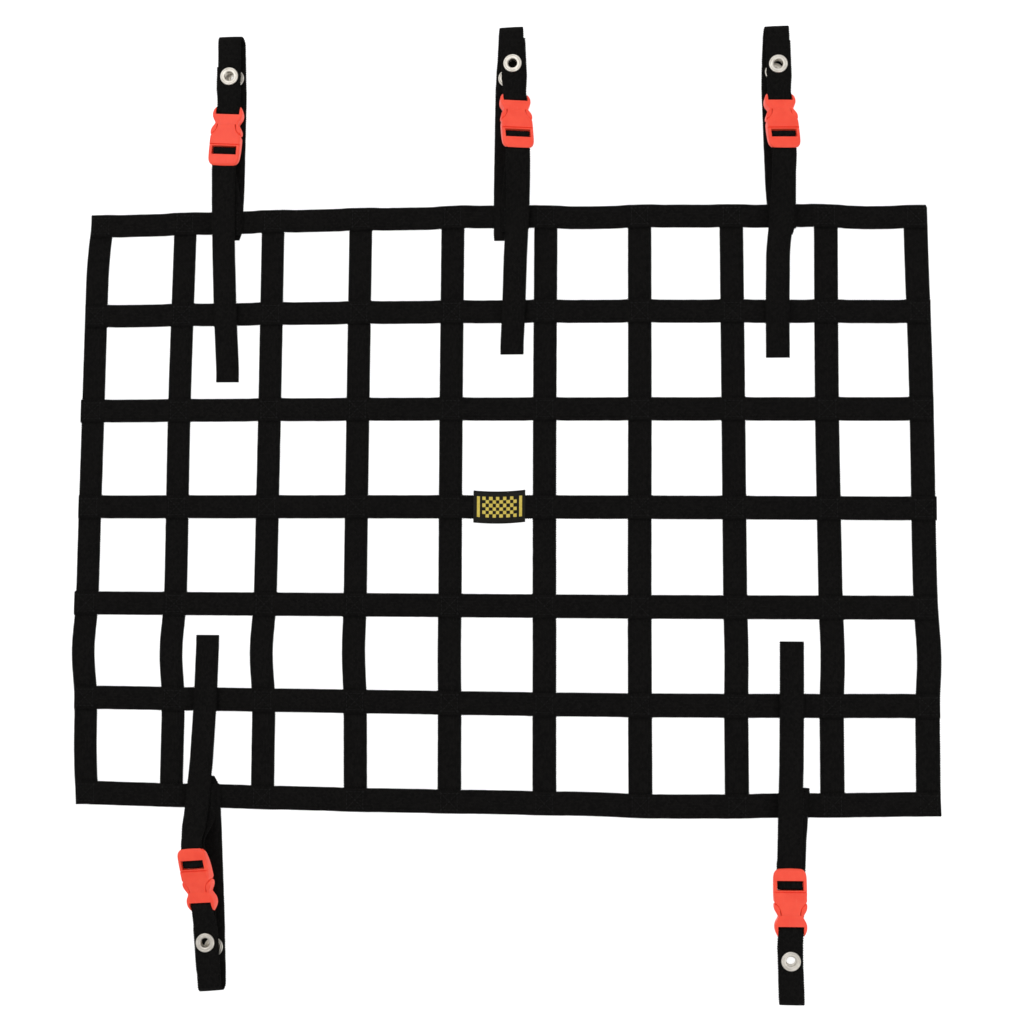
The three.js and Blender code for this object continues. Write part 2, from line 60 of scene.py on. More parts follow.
# The studio: soft boxes as (name, place, size, power) in metres and watts, the light all round, and the floor
SOFTBOXES = [
    ("key_softbox", (-0.7, 0.9, 1.9), (2.6, 2.2), 19),
    ("fill_softbox", (1.3, -0.7, 1.6), (1.4, 1.4), 8),
]
ROUND_LIGHT = 0.68
FLOOR_REACH = 4.0
FLOOR_DROP = 0.4

# Webbing. Its selvage has a small bump for each turn of the weft, and its cut ends are sealed with heat.
WEB_WIDTH = 19.0
WEB_HALF_THICK = 0.82
CAD_THICK = 1.5
LAYER = 1.8
ON_FLOOR = CAD_THICK / 2
PICK = 1.9
SAMPLES_PER_PICK = 4
CORDS_ACROSS = 15
SELVAGE_BUMP = 0.3
FRAY = 0.2
FACE_RIB = 0.05
SEALED_END = 1.4
PINCHED_END = 0.6
PINCH = 0.25

# The angles in degrees past which an edge stays sharp
SHARP_WEB_EDGE = 62
SHARP_HARD_EDGE = 38
SHARP_LABEL_EDGE = 50

# Stitching, and how far it stands out of what it holds
STITCH_PITCH = 2.9
STITCH_LENGTH = 2.3
THREAD = 0.42
THREAD_OUT = 0.05
BOX_HALF = 6.6
BOX_TOP = LAYER + CAD_THICK + THREAD_OUT
BOX_UNDER = -0.07

# The net's grid. shape is how far an outer strap lies beside its CAD path, in rows of (along, beside), and
# trim what it is shorter by at its low and its high end. Each upright is also tucked in at both its ends.
UPRIGHTS = 10
CROSSBARS = 7
PITCH_Y = 80.0
BORDER_Y = 3 * PITCH_Y
OUTER_STRAPS = {
    "upright_1": dict(trim=(0, 0), shape=[
        (-250, 2.6), (-235, 2.0), (-220, 0.9), (-190, 0.1), (-116, 0.6), (-60, 0.1), (60, 0), (190, 0),
        (205, 0.4), (220, 1.3), (234, 2.6), (250, 3.4)]),
    "upright_10": dict(trim=(0, 0), shape=[
        (-250, 0), (-230, 0), (-190, 0.35), (-116, 0.6), (-40, 0), (120, 0), (197, -0.6), (250, -0.6)]),
    "crossbar_1": dict(trim=(3.4, 1.7), shape=[
        (-355, -0.7), (-60, -0.7), (-26, 0.2), (20, -0.1), (69, -1.0), (110, -0.3), (144, 0.2), (203, 0),
        (247, 0.7), (285, -0.4), (301, -0.85), (330, -0.4), (355, 0.05)]),
    "crossbar_7": dict(trim=(5.6, 0), shape=[
        (-350, 1.9), (-310, 0.9), (-240, 0.8), (-162, 0.45), (-88, 0.25), (-20, 0.7), (69, 0.9), (110, 0.1),
        (144, -0.4), (185, 0), (210, 0.35), (260, 0.8), (301, 0.9), (350, 1.85)]),
}
INNER_STRAP = dict(trim=(0, 0), shape=[(-1, 0), (1, 0)])
UPRIGHT_TUCK = 0.9

# A strap's path: the least step between two of its CAD sections, its points, and over how many of them its
# steps up and down are softened
CAD_SECTION_STEP = 1.5
PATH_POINTS = 700
SOFTENED_OVER = 7

# The mounting straps. Their own y runs outwards from the middle of the border strap, and their own x across.
# x, edge: where the loop is sewn, and 1 on the top border or -1 on the bottom one
# tuck, reach, flap: the loop's sewn end behind the border, its far fold and the end of its turned-in layer
# eye_front, eye_back: the two eyelets, and with _side how far one lies beside the middle of its layer
# buckle, buckle_side, yaw, pitch, roll: the buckle's strap end, and how it lies, in degrees
# back_at_tuck, back_at_eye, fold, front_side: places across, in the order in which the loop passes them
# flap_side: how far the turned-in layer lies beside the layer over it
# skew, bow: how far the fold is turned from square, and how far the back layer bows out sideways
# clipped: the corner taken off the loop's sewn end, as edge, depth and length
# tail_reach: the end of the adjuster's free tail
# standing, tail_at_border, tail_mid, tail_low, tail_end: places across, in the adjuster's order
MOUNTS = [
    dict(name="top_left", x=-226, edge=1, tuck=16, reach=157.9, flap=131, eye_front=121.9, eye_back=122.9,
         buckle=44.9, buckle_side=-5.6, yaw=2.8, pitch=-5, roll=0,
         back_at_tuck=0, back_at_eye=0.6, fold=-2.2, front_side=-2.4, flap_side=-1.7,
         skew=0.8, bow=0, clipped=(1, 2.8, 8.5),
         tail_reach=136, standing=-1.5, tail_at_border=-6.1, tail_mid=-5.0, tail_low=-3.4, tail_end=-1.6),
    dict(name="top_middle", x=4.7, edge=1, tuck=19, reach=160.9, flap=150, eye_front=128.3, eye_back=118.5,
         buckle=50.8, buckle_side=10.6, yaw=-5, pitch=-16, roll=-14,
         back_at_tuck=0, back_at_eye=0.9, fold=3.9, front_side=6.2, flap_side=1.8,
         skew=-0.9, bow=-0.8, clipped=(-1, 0.4, 4),
         tail_reach=114, standing=6.5, tail_at_border=10.8, tail_mid=8.8, tail_low=7.4, tail_end=6),
    dict(name="top_right", x=229.5, edge=1, tuck=17.6, reach=157.1, flap=144, eye_front=123.4, eye_back=119.7,
         eye_back_side=1.0, buckle=47.7, buckle_side=2.1, yaw=-3.2, pitch=-16, roll=-7,
         back_at_tuck=4.6, back_at_eye=-4.2, fold=-1.75, front_side=-0.4, flap_side=1.2,
         skew=-0.4, bow=-0.5, clipped=(1, 3, 7),
         tail_reach=118, standing=4, tail_at_border=2.5, tail_mid=-1.5, tail_low=-2.0, tail_end=-1.5),
    dict(name="bottom_left", x=-235.2, edge=-1, tuck=18.5, reach=153, flap=136.5, eye_front=113.8,
         eye_back=118.7, eye_front_side=1.0, buckle=37.0, buckle_side=8.0, yaw=-9.5, pitch=-9.5, roll=-16,
         back_at_tuck=1, back_at_eye=-6.1, fold=-6.1, front_side=-1.3, flap_side=1.2,
         skew=-0.5, bow=1.0, clipped=(-1, 5, 9.5),
         tail_reach=133.6, standing=4, tail_at_border=9.2, tail_mid=6.0, tail_low=4.5, tail_end=4.7),
    dict(name="bottom_right", x=239.8, edge=-1, tuck=16, reach=153.5, flap=139, eye_front=118.5, eye_back=119,
         buckle=48, buckle_side=6.2, yaw=-0.6, pitch=2, roll=0,
         back_at_tuck=-1.3, back_at_eye=5.2, fold=5.0, front_side=6.3, flap_side=0.4,
         skew=0, bow=0.6, clipped=(-1, 0.3, 4),
         tail_reach=131.6, standing=1.2, tail_at_border=5.5, tail_mid=4.1, tail_low=3.1, tail_end=2.3),
]

# Heights of the webbing's middle along a mounting strap
LOOP_SEWN = ON_FLOOR + LAYER
LOOP_EYELET = 2.1
LOOP_TOP = 10.4
LOOP_ROUND = (LOOP_TOP - ON_FLOOR) / 2
ADJUSTER_SEWN = ON_FLOOR + 2 * LAYER
TAIL_OVER_BORDER = 8.6
TAIL_IN_GAP = 7.4
TAIL_OVER_CROSSBAR = 5.0
TAIL_LANDING = ON_FLOOR + 0.2

# Where a mounting strap leaves the border and lands, and the level stretches round its eyelets
LOOP_LEAVES = 13.0
LOOP_LANDS = 26.0
ADJUSTER_TUCK = 12.0
ADJUSTER_LEAVES = 14.0
EYELET_LEVEL = 9.5
EYELET_RAMP = 15.0
FRONT_LEVEL = 10.0
TAIL_BEND = 10.0
TAIL_MID = 32.0

# The radii of the webbing's bends, from the free tail to the turns round a buckle's bars
STIFF_BEND = 60.0
LANDING_BEND = 30.0
GRIP_BEND = 20.0
SOFT_BEND = 12.0
FRONT_BEND = 10.0
BAR_BEND = 8.0
END_BAR_BEND = 6.0
FLAP_BEND = 4.0
TIGHT_BEND = 1.5
TURN_STEP = math.radians(7)

# Eyelets. From the bore to the rim, a flange's face has a bevel, in rows of (out from the bore, below the
# crown), a flat with a fine groove, in rows of (out from the middle, below the crown), and a rolled rim.
EYELET_BORE = 3.7
EYELET_RIM = 7.65
EYELET_BARREL = 0.9
EYELET_FLANGE = 1.0
EYELET_CLEAR = 0.3
EYELET_BITE = 0.1
EYELET_BEVEL = [(0, 0.75), (0.12, 0.42), (0.42, 0.14), (0.8, 0.03)]
EYELET_FACE = [(5.1, 0), (5.8, 0), (6.0, 0.05), (6.14, 0.16), (6.28, 0.06), (6.5, 0)]
EYELET_ROLL = 0.8
EYELET_LIP = (0.25, 0.15)
EYELET_STEPS = 56
WEB_HOLE = 4.5
WEB_HOLE_REACH = dict(front=4, back=3)

# The buckle, lying along its own y from its strap end, with its underside at its own z 0
BUCKLE_LENGTH = 50.0
BUCKLE_HALF = 13.1
BUCKLE_SEAT = 1.9
GRIP_WRAP = dict(turn=14.9, low=1.6, high=7.9, under_from=-4, under_end_bar=8.4, over_to=-3, over=6.0)
BAR_WRAP = dict(turn=45.45, low=2.35, high=7.15, over_from=49.95, under_to=49.45)
STEP_AT = 17.8
MOUTH_AT = 35.3
END_BULGE = 0.9
END_BULGE_OVER = 7.0
HORN_TIP = 52.0
CAVITY_HALF = 10.9
SOCKET_SLOT_HALF = 10.3
PLUG_SLOT_HALF = 10.1
GRIP_BAR_HALF = 10.6

# The label: a chequer between two upright bars, woven in picks and cords of its own. Its weft bows and tilts,
# it droops past the edges of its strap, and its ends curl up.
LABEL_SIZE = (42.6, 26.5)
LABEL_THICK = 0.6
LABEL_CORD = 0.34
LABEL_PICK = 0.62
LABEL_CELLS = (42, 26)
LABEL_DROOP = 0.7
LABEL_DROOP_FROM = WEB_WIDTH / 2 + 1.2
LABEL_CURL = 0.25
LABEL_CURL_FROM = 0.86
LABEL_BOW = 1.15
LABEL_BOW_MIDDLE = 0.45
LABEL_TILT = 0.3
LABEL_SEAM_IN = 1.3
LABEL_SEAM_POINTS = 15
LABEL_SEAM_OUT = 0.02
LABEL_SEAM_DROOP = 0.3
CHECK = 2.84
CHECK_HALF = (14.2, 8.52)
BAR_MIDDLE = 17.4
BAR_HALF = (1.1, 8.6)


# Materials

def socket_name(key):
    """The name of the socket that a keyword stands for, such as Base Color for base_color."""
    return key.replace("_", " ").title().replace("Ior", "IOR")


def new_material(name):
    """An empty material, and its nodes."""
    material = bpy.data.materials.new(name)
    material.use_nodes = True
    material.node_tree.nodes.clear()
    return material, Nodes(material.node_tree)


class Nodes:
    """A short way to write a node tree: add a node, set its sockets and link what is an output."""

    def __init__(self, tree):
        self.tree = tree

    def add(self, kind, inputs=None, **settings):
        node = self.tree.nodes.new(kind)
        for key, value in settings.items():
            setattr(node, key, value)
        for key, value in (inputs or {}).items():
            self.put(node.inputs[key], value)
        return node

    def put(self, socket, value):
        if isinstance(value, bpy.types.NodeSocket):
            self.tree.links.new(value, socket)
        else:
            socket.default_value = value

    def math(self, operation, *values, clamp=False):
        node = self.add("ShaderNodeMath", operation=operation, use_clamp=clamp)
        for socket, value in zip(node.inputs, values):
            self.put(socket, value)
        return node.outputs[0]

    def mix(self, factor, a, b):
        node = self.add("ShaderNodeMix", data_type="RGBA")
        self.put(node.inputs[0], factor)
        self.put(node.inputs[6], a)
        self.put(node.inputs[7], b)
        return node.outputs[2]

    def spread(self, value, low, high):
        node = self.add("ShaderNodeMapRange", {"Value": value, "To Min": low, "To Max": high})
        return node.outputs[0]

    def bump(self, height, distance, strength=1.0, after=None):
        node = self.add("ShaderNodeBump", {"Height": height, "Distance": distance, "Strength": strength})
        if after is not None:
            self.put(node.inputs["Normal"], after)
        return node.outputs[0]

    def surface(self, **sockets):
        """Ends the tree in a Principled BSDF, with a keyword for each of its sockets that is set."""
        named = {socket_name(key): value for key, value in sockets.items()}
        shader = self.add("ShaderNodeBsdfPrincipled", named)
        out = self.add("ShaderNodeOutputMaterial")
        self.tree.links.new(shader.outputs[0], out.inputs[0])


def new_group(name, inputs, outputs):
    """An empty shader group with named float or vector inputs and float outputs."""
    tree = bpy.data.node_groups.new(name, "ShaderNodeTree")
    for key, kind in inputs:
        tree.interface.new_socket(key, in_out="INPUT", socket_type=kind)
    for key in outputs:
        tree.interface.new_socket(key, in_out="OUTPUT", socket_type="NodeSocketFloat")
    nodes = Nodes(tree)
    return tree, nodes, nodes.add("NodeGroupInput").outputs, nodes.add("NodeGroupOutput").inputs


FLOAT = "NodeSocketFloat"
VECTOR = "NodeSocketVector"


def build_weave_group():
    """Plain-woven cords: a rounded height for each float, and a mask that is 1 in the gaps between them."""
    tree, n, given, out = new_group(
        "woven_cords", [("Flat Place", VECTOR), ("Cord Pitch", FLOAT), ("Pick Pitch", FLOAT)],
        ["Height", "Gap", "Float Tone"])
    place = n.add("ShaderNodeSeparateXYZ", {0: given["Flat Place"]}).outputs
    across = n.math("DIVIDE", place[0], given["Cord Pitch"])
    cord = n.math("FLOOR", across)
    odd = n.math("MODULO", n.math("ABSOLUTE", cord), 2.0)
    along = n.math("ADD", n.math("DIVIDE", place[1], given["Pick Pitch"]), n.math("MULTIPLY", odd, 0.5))
    pick = n.math("FLOOR", along)
    side = n.math("SUBTRACT", n.math("MULTIPLY", n.math("FRACT", across), 2.0), 1.0)
    end = n.math("SUBTRACT", n.math("MULTIPLY", n.math("FRACT", along), 2.0), 1.0)
    round_side = n.math("SUBTRACT", 1.0, n.math("POWER", n.math("ABSOLUTE", side), 2.4))
    round_end = n.math("SUBTRACT", 1.0, n.math("POWER", n.math("ABSOLUTE", end), 2.0))
    height = n.math("SQRT", n.math("MULTIPLY", round_side, round_end))
    n.put(out["Height"], height)
    n.put(out["Gap"], n.math("SUBTRACT", 1.0, n.spread(height, 0.0, 1.6), clamp=True))
    seed = n.add("ShaderNodeCombineXYZ", {0: cord, 1: pick}).outputs[0]
    n.put(out["Float Tone"], n.add("ShaderNodeTexWhiteNoise", {"Vector": seed}).outputs["Value"])
    return tree


def build_mottle_group():
    """Soft uneven patches: a value from 0 to 1 that wanders over the surface."""
    tree, n, given, out = new_group(
        "mottle", [("Place", VECTOR), ("Scale", FLOAT), ("Detail", FLOAT)], ["Value"])
    noise = n.add("ShaderNodeTexNoise", {
        "Vector": given["Place"], "Scale": given["Scale"], "Detail": given["Detail"], "Roughness": 0.6})
    n.put(out["Value"], n.add("ShaderNodeMapRange", {
        "Value": noise.outputs["Fac"], "From Min": 0.3, "From Max": 0.7}).outputs[0])
    return tree


def use_group(n, tree, **inputs):
    """Places a group with its own values, and returns its outputs."""
    node = n.add("ShaderNodeGroup", node_tree=tree)
    for key, value in inputs.items():
        n.put(node.inputs[socket_name(key)], value)
    return node.outputs


def black_webbing(weave, mottle):
    """Near-black polyester webbing: woven cords on the flat of the strap, smoother at its sealed ends."""
    material, n = new_material("black_webbing")
    flat_place = n.add("ShaderNodeUVMap", uv_map="flat").outputs[0]
    place = n.add("ShaderNodeTexCoord").outputs["Object"]
    cords = use_group(n, weave, flat_place=flat_place, cord_pitch=WEB_WIDTH / CORDS_ACROSS * MM,
                      pick_pitch=PICK * MM)
    patches = use_group(n, mottle, place=place, scale=60.0, detail=3.0)
    fluff = use_group(n, mottle, place=place, scale=2600.0, detail=1.0)
    sealed = n.add("ShaderNodeAttribute", attribute_name="sealed").outputs["Fac"]
    yarn = n.mix(cords["Float Tone"], (0.0013, 0.0012, 0.0012, 1), (0.0066, 0.0061, 0.0057, 1))
    faded = n.mix(n.math("MULTIPLY", patches[0], 0.35), yarn, (0.0074, 0.0069, 0.0064, 1))
    flecked = n.mix(n.math("MULTIPLY", fluff[0], 0.3), faded, (0.0115, 0.0107, 0.0098, 1))
    # Painted shade: the gaps between the cords are darkened towards near-black, as shade falls into them.
    painted_gap_shade = n.mix(n.math("MULTIPLY", cords["Gap"], 0.85), flecked, (0.0005, 0.0005, 0.0005, 1))
    color = n.mix(n.math("MULTIPLY", sealed, 0.6), painted_gap_shade, (0.003, 0.003, 0.003, 1))
    rough = n.math("SUBTRACT", n.spread(patches[0], 0.76, 0.9), n.math("MULTIPLY", sealed, 0.35))
    relief = n.math("MULTIPLY", cords["Height"], n.math("SUBTRACT", 1.0, n.math("MULTIPLY", sealed, 0.6)))
    height = n.math("ADD", relief, n.math("MULTIPLY", fluff[0], 0.12))
    n.surface(base_color=color, roughness=rough, specular_ior_level=0.05,
              normal=n.bump(height, 0.22 * MM, 0.9))
    return material


def black_thread(mottle):
    """Bonded sewing thread, a little shinier than the webbing that it holds."""
    material, n = new_material("black_thread")
    place = n.add("ShaderNodeTexCoord").outputs["Object"]
    twist = n.add("ShaderNodeTexWave", {"Vector": place, "Scale": 900.0, "Distortion": 1.0},
                  bands_direction="DIAGONAL")
    tone = use_group(n, mottle, place=place, scale=400.0, detail=2.0)
    color = n.mix(tone[0], (0.0025, 0.0023, 0.0022, 1), (0.0068, 0.0064, 0.0060, 1))
    n.surface(base_color=color, roughness=n.spread(tone[0], 0.45, 0.62), specular_ior_level=0.14,
              normal=n.bump(twist.outputs["Fac"], 0.05 * MM, 0.7))
    return material


def red_plastic(mottle):
    """Injection-moulded acetal in a bright red, satin, with faint flow marks and fine handling scuffs."""
    material, n = new_material("red_plastic")
    place = n.add("ShaderNodeTexCoord").outputs["Object"]
    flow_marks = use_group(n, mottle, place=place, scale=90.0, detail=2.0)
    grain = use_group(n, mottle, place=place, scale=3200.0, detail=1.0)
    long_marks = n.add("ShaderNodeMapping", {"Vector": place, "Scale": (900.0, 120.0, 900.0)})
    scuffs = n.add("ShaderNodeTexNoise", {"Vector": long_marks.outputs[0], "Scale": 1.0, "Detail": 4.0})
    scuffed = n.add("ShaderNodeMapRange", {
        "Value": scuffs.outputs["Fac"], "From Min": 0.62, "From Max": 0.75}).outputs[0]
    body = n.mix(flow_marks[0], (0.89, 0.056, 0.023, 1), (0.95, 0.076, 0.034, 1))
    color = n.mix(n.math("MULTIPLY", scuffed, 0.25), body, (0.95, 0.20, 0.12, 1))
    rough = n.math("ADD", n.spread(flow_marks[0], 0.42, 0.52), n.math("MULTIPLY", scuffed, 0.12))
    relief = n.math("SUBTRACT", n.math("MULTIPLY", grain[0], 0.6), n.math("MULTIPLY", scuffed, 0.4))
    n.surface(base_color=color, roughness=rough, subsurface_weight=0.06, subsurface_scale=0.002,
              ior=1.46, normal=n.bump(relief, 0.03 * MM, 0.6))
    return material


def bright_nickel(mottle):
    """Nickel-plated brass: satin, with fine rubbing marks and a faint warm dulling in patches."""
    material, n = new_material("bright_nickel")
    place = n.add("ShaderNodeTexCoord").outputs["Object"]
    dull = use_group(n, mottle, place=place, scale=260.0, detail=3.0)
    rub = n.add("ShaderNodeTexNoise", {"Vector": place, "Scale": 2400.0, "Detail": 3.0})
    color = n.mix(dull[0], (0.68, 0.645, 0.585, 1), (0.56, 0.52, 0.455, 1))
    rough = n.math("ADD", n.spread(dull[0], 0.27, 0.40), n.math("MULTIPLY", rub.outputs["Fac"], 0.06))
    n.surface(base_color=color, metallic=1.0, roughness=rough,
              normal=n.bump(rub.outputs["Fac"], 0.02 * MM, 0.35))
    return material


def woven_label_cloth(weave, mottle):
    """A damask label: a black ground with a chequer and two upright bars, all woven in yellow."""
    material, n = new_material("woven_label_cloth")
    flat_place = n.add("ShaderNodeUVMap", uv_map="flat").outputs[0]
    place = n.add("ShaderNodeTexCoord").outputs["Object"]
    spot = n.add("ShaderNodeSeparateXYZ", {0: flat_place}).outputs
    x = n.math("SNAP", n.math("DIVIDE", spot[0], MM), LABEL_CORD)
    y = n.math("SNAP", n.math("DIVIDE", spot[1], MM), LABEL_PICK / 2)
    column = n.math("FLOOR", n.math("DIVIDE", x, CHECK))
    row = n.math("FLOOR", n.math("DIVIDE", y, CHECK))
    check = n.math("FLOORED_MODULO", n.math("ADD", column, row), 2.0)
    wide, tall = n.math("ABSOLUTE", x), n.math("ABSOLUTE", y)
    from_bar = n.math("ABSOLUTE", n.math("SUBTRACT", wide, BAR_MIDDLE))

    def inside(across, up, half):
        """1 where across and up are both less than the half sizes."""
        return n.math("MULTIPLY", n.math("LESS_THAN", across, half[0]), n.math("LESS_THAN", up, half[1]))

    chequer = n.math("MULTIPLY", check, inside(wide, tall, CHECK_HALF))
    yellow = n.math("MAXIMUM", chequer, inside(from_bar, tall, BAR_HALF))
    picks = use_group(n, weave, flat_place=flat_place, cord_pitch=LABEL_CORD * MM,
                      pick_pitch=LABEL_PICK * MM)
    tone = use_group(n, mottle, place=place, scale=700.0, detail=2.0)
    ground = n.mix(picks["Float Tone"], (0.0045, 0.0043, 0.0030, 1), (0.0120, 0.0115, 0.0075, 1))
    gold = n.mix(tone[0], (0.55, 0.42, 0.060, 1), (0.70, 0.56, 0.125, 1))
    # Painted shade: the yellow is darkened in the gaps between the picks, as shade falls into them.
    shaded = n.mix(n.math("MULTIPLY", picks["Gap"], 0.4), gold, (0.30, 0.21, 0.025, 1))
    height = n.math("ADD", picks["Height"], n.math("MULTIPLY", yellow, 1.2))
    n.surface(base_color=n.mix(yellow, ground, shaded), roughness=n.spread(picks["Gap"], 0.55, 0.8),
              specular_ior_level=0.12, normal=n.bump(height, 0.07 * MM, 0.8))
    return material


def pale_floor_paint():
    """A matt floor that glows a little, as an evenly lit white ground does."""
    material, n = new_material("pale_floor_paint")
    n.surface(base_color=(0.3, 0.3, 0.3, 1), roughness=0.9, specular_ior_level=0.1,
              emission_color=(1, 1, 1, 1), emission_strength=0.9)
    return material


# Geometry Nodes

def new_tree(name, inputs):
    """An empty geometry tree: its nodes, its inputs by name, and the socket that takes the result."""
    tree = bpy.data.node_groups.new(name, "GeometryNodeTree")
    tree.interface.new_socket("Geometry", in_out="INPUT", socket_type="NodeSocketGeometry")
    for key, kind, value in inputs:
        socket = tree.interface.new_socket(key, in_out="INPUT", socket_type=kind)
        if value is not None:
            socket.default_value = value
    tree.interface.new_socket("Geometry", in_out="OUTPUT", socket_type="NodeSocketGeometry")
    nodes = Nodes(tree)
    given = nodes.add("NodeGroupInput").outputs
    result = nodes.add("NodeGroupOutput").inputs["Geometry"]
    return tree, nodes, given, result


def finish_tree(n, geometry, material, result):
    """Ends a tree in Realize Instances and Set Material."""
    real = n.add("GeometryNodeRealizeInstances", {"Geometry": geometry}).outputs[0]
    dressed = n.add("GeometryNodeSetMaterial", {"Geometry": real, "Material": material}).outputs[0]
    n.put(result, dressed)


def build_selvage_tree():
    """Pushes each point out by a wave along the strap: a selvage bump for each pick, and low face ribs."""
    tree, n, given, result = new_tree("selvage_ribs", [
        ("Pick Pitch", FLOAT, PICK * MM), ("Bump", FLOAT, SELVAGE_BUMP * MM), ("Wander", FLOAT, 0.35),
        ("Material", "NodeSocketMaterial", None)])
    along = n.add("GeometryNodeInputNamedAttribute", {"Name": "along"}, data_type="FLOAT").outputs[0]
    phase = n.add("GeometryNodeInputNamedAttribute", {"Name": "phase"}, data_type="FLOAT").outputs[0]
    push = n.add("GeometryNodeInputNamedAttribute", {"Name": "push"}, data_type="FLOAT_VECTOR").outputs[0]
    picks = n.math("ADD", n.math("DIVIDE", along, given["Pick Pitch"]), phase)
    wave = n.math("COSINE", n.math("MULTIPLY", picks, math.tau))
    place = n.add("GeometryNodeInputPosition").outputs[0]
    noise = n.add("ShaderNodeTexNoise", {"Vector": place, "Scale": 260.0, "Detail": 2.0}).outputs["Fac"]
    uneven = n.math("MULTIPLY", n.math("SUBTRACT", noise, 0.5), n.math("MULTIPLY", given["Wander"], 4.0))
    lift = n.math("MULTIPLY", n.math("ADD", wave, uneven), given["Bump"])
    offset = n.add("ShaderNodeVectorMath", operation="SCALE")
    n.put(offset.inputs[0], push)
    n.put(offset.inputs["Scale"], lift)
    moved = n.add("GeometryNodeSetPosition", {"Geometry": given["Geometry"], "Offset": offset.outputs[0]})
    finish_tree(n, moved.outputs[0], given["Material"], result)
    return tree


def build_stitch_tree():
    """Lays a stitch of thread at an even pitch along every line of the mesh, each one a low arch."""
    tree, n, given, result = new_tree("stitch_rows", [
        ("Pitch", FLOAT, STITCH_PITCH * MM), ("Stitch Length", FLOAT, STITCH_LENGTH * MM),
        ("Thread", FLOAT, THREAD * MM), ("Material", "NodeSocketMaterial", None)])
    lines = n.add("GeometryNodeMeshToCurve", {"Mesh": given["Geometry"]}).outputs[0]
    points = n.add("GeometryNodeCurveToPoints", {"Curve": lines, "Length": given["Pitch"]}, mode="LENGTH")
    up = n.add("GeometryNodeInputNamedAttribute", {"Name": "up"}, data_type="FLOAT_VECTOR").outputs[0]
    along = n.add("FunctionNodeAlignRotationToVector", {"Vector": points.outputs["Tangent"]}, axis="X")
    stand = n.add("FunctionNodeAlignRotationToVector",
                  {"Rotation": along.outputs[0], "Vector": up}, axis="Z", pivot_axis="X")
    half = n.math("MULTIPLY", given["Stitch Length"], 0.5)
    dip = n.math("MULTIPLY", given["Thread"], -0.35)
    crown = n.math("MULTIPLY", given["Thread"], 0.9)
    start = n.add("ShaderNodeCombineXYZ", {0: n.math("MULTIPLY", half, -1.0), 2: dip}).outputs[0]
    middle = n.add("ShaderNodeCombineXYZ", {2: crown}).outputs[0]
    end = n.add("ShaderNodeCombineXYZ", {0: half, 2: dip}).outputs[0]
    arch = n.add("GeometryNodeCurveQuadraticBezier",
                 {"Resolution": 3, "Start": start, "Middle": middle, "End": end}).outputs[0]
    thread_half = n.math("MULTIPLY", given["Thread"], 0.5)
    ring = n.add("GeometryNodeCurvePrimitiveCircle",
                 {"Resolution": 5, "Radius": thread_half}, mode="RADIUS").outputs[0]
    stitch = n.add("GeometryNodeCurveToMesh",
                   {"Curve": arch, "Profile Curve": ring, "Fill Caps": True}).outputs[0]
    laid = n.add("GeometryNodeInstanceOnPoints",
                 {"Points": points.outputs["Points"], "Instance": stitch, "Rotation": stand.outputs[0]})
    finish_tree(n, laid.outputs[0], given["Material"], result)
    return tree


def baked(name, mesh, tree, **inputs):
    """Runs a tree on a mesh and returns an object with its plain result."""
    source = bpy.data.objects.new(name + "_source", mesh)
    bpy.context.scene.collection.objects.link(source)
    modifier = source.modifiers.new("nodes", "NODES")
    modifier.node_group = tree
    sockets = {s.name: s.identifier for s in tree.interface.items_tree if s.in_out == "INPUT"}
    for key, value in inputs.items():
        modifier[sockets[socket_name(key)]] = value
    evaluated = source.evaluated_get(bpy.context.evaluated_depsgraph_get())
    result = bpy.data.meshes.new_from_object(evaluated)
    bpy.data.objects.remove(source)
    return add_object(name, result)


# Meshes

def add_object(name, mesh, smooth=None):
    """An object at the origin. smooth is the angle in degrees over which an edge stays sharp."""
    mesh.name = name
    piece = bpy.data.objects.new(name, mesh)
    bpy.context.scene.collection.objects.link(piece)
    if smooth is not None:
        mesh.shade_smooth()
        mesh.set_sharp_from_angle(angle=math.radians(smooth))
    return piece


def new_mesh(name, points_mm, faces, edges=()):
    """A mesh in metres from points in millimetres."""
    mesh = bpy.data.meshes.new(name)
    mesh.from_pydata([tuple(p) for p in np.asarray(points_mm, float) * MM], edges, faces)
    mesh.update()
    return mesh


def combined(piece, operation, meshes):
    """The mesh of a piece once closed meshes are joined to it or taken out of it."""
    tools = [add_object("tool", mesh) for mesh in meshes]
    for tool in tools:
        modifier = piece.modifiers.new("combine", "BOOLEAN")
        modifier.operation = operation
        modifier.solver = "EXACT"
        modifier.object = tool
    result = bpy.data.meshes.new_from_object(piece.evaluated_get(bpy.context.evaluated_depsgraph_get()))
    piece.modifiers.clear()
    for tool in tools:
        bpy.data.objects.remove(tool)
    return result


def cut_out(piece, cutters):
    """Takes closed meshes out of a piece."""
    piece.data = combined(piece, "DIFFERENCE", cutters)


def joined(meshes):
    """The union of closed meshes, as one mesh."""
    base = add_object("union", meshes[0])
    result = combined(base, "UNION", meshes[1:])
    bpy.data.objects.remove(base)
    return result


def drum(x, y, z0, z1, radius, steps=48):
    """A closed upright cylinder, in millimetres."""
    turns = [math.tau * k / steps for k in range(steps)]
    ring = [(x + radius * math.cos(a), y + radius * math.sin(a)) for a in turns]
    points = [(px, py, z0) for px, py in ring] + [(px, py, z1) for px, py in ring]
    sides = [(k, (k + 1) % steps, steps + (k + 1) % steps, steps + k) for k in range(steps)]
    return new_mesh("drum", points, [tuple(range(steps))[::-1], *sides, tuple(range(steps, 2 * steps))])


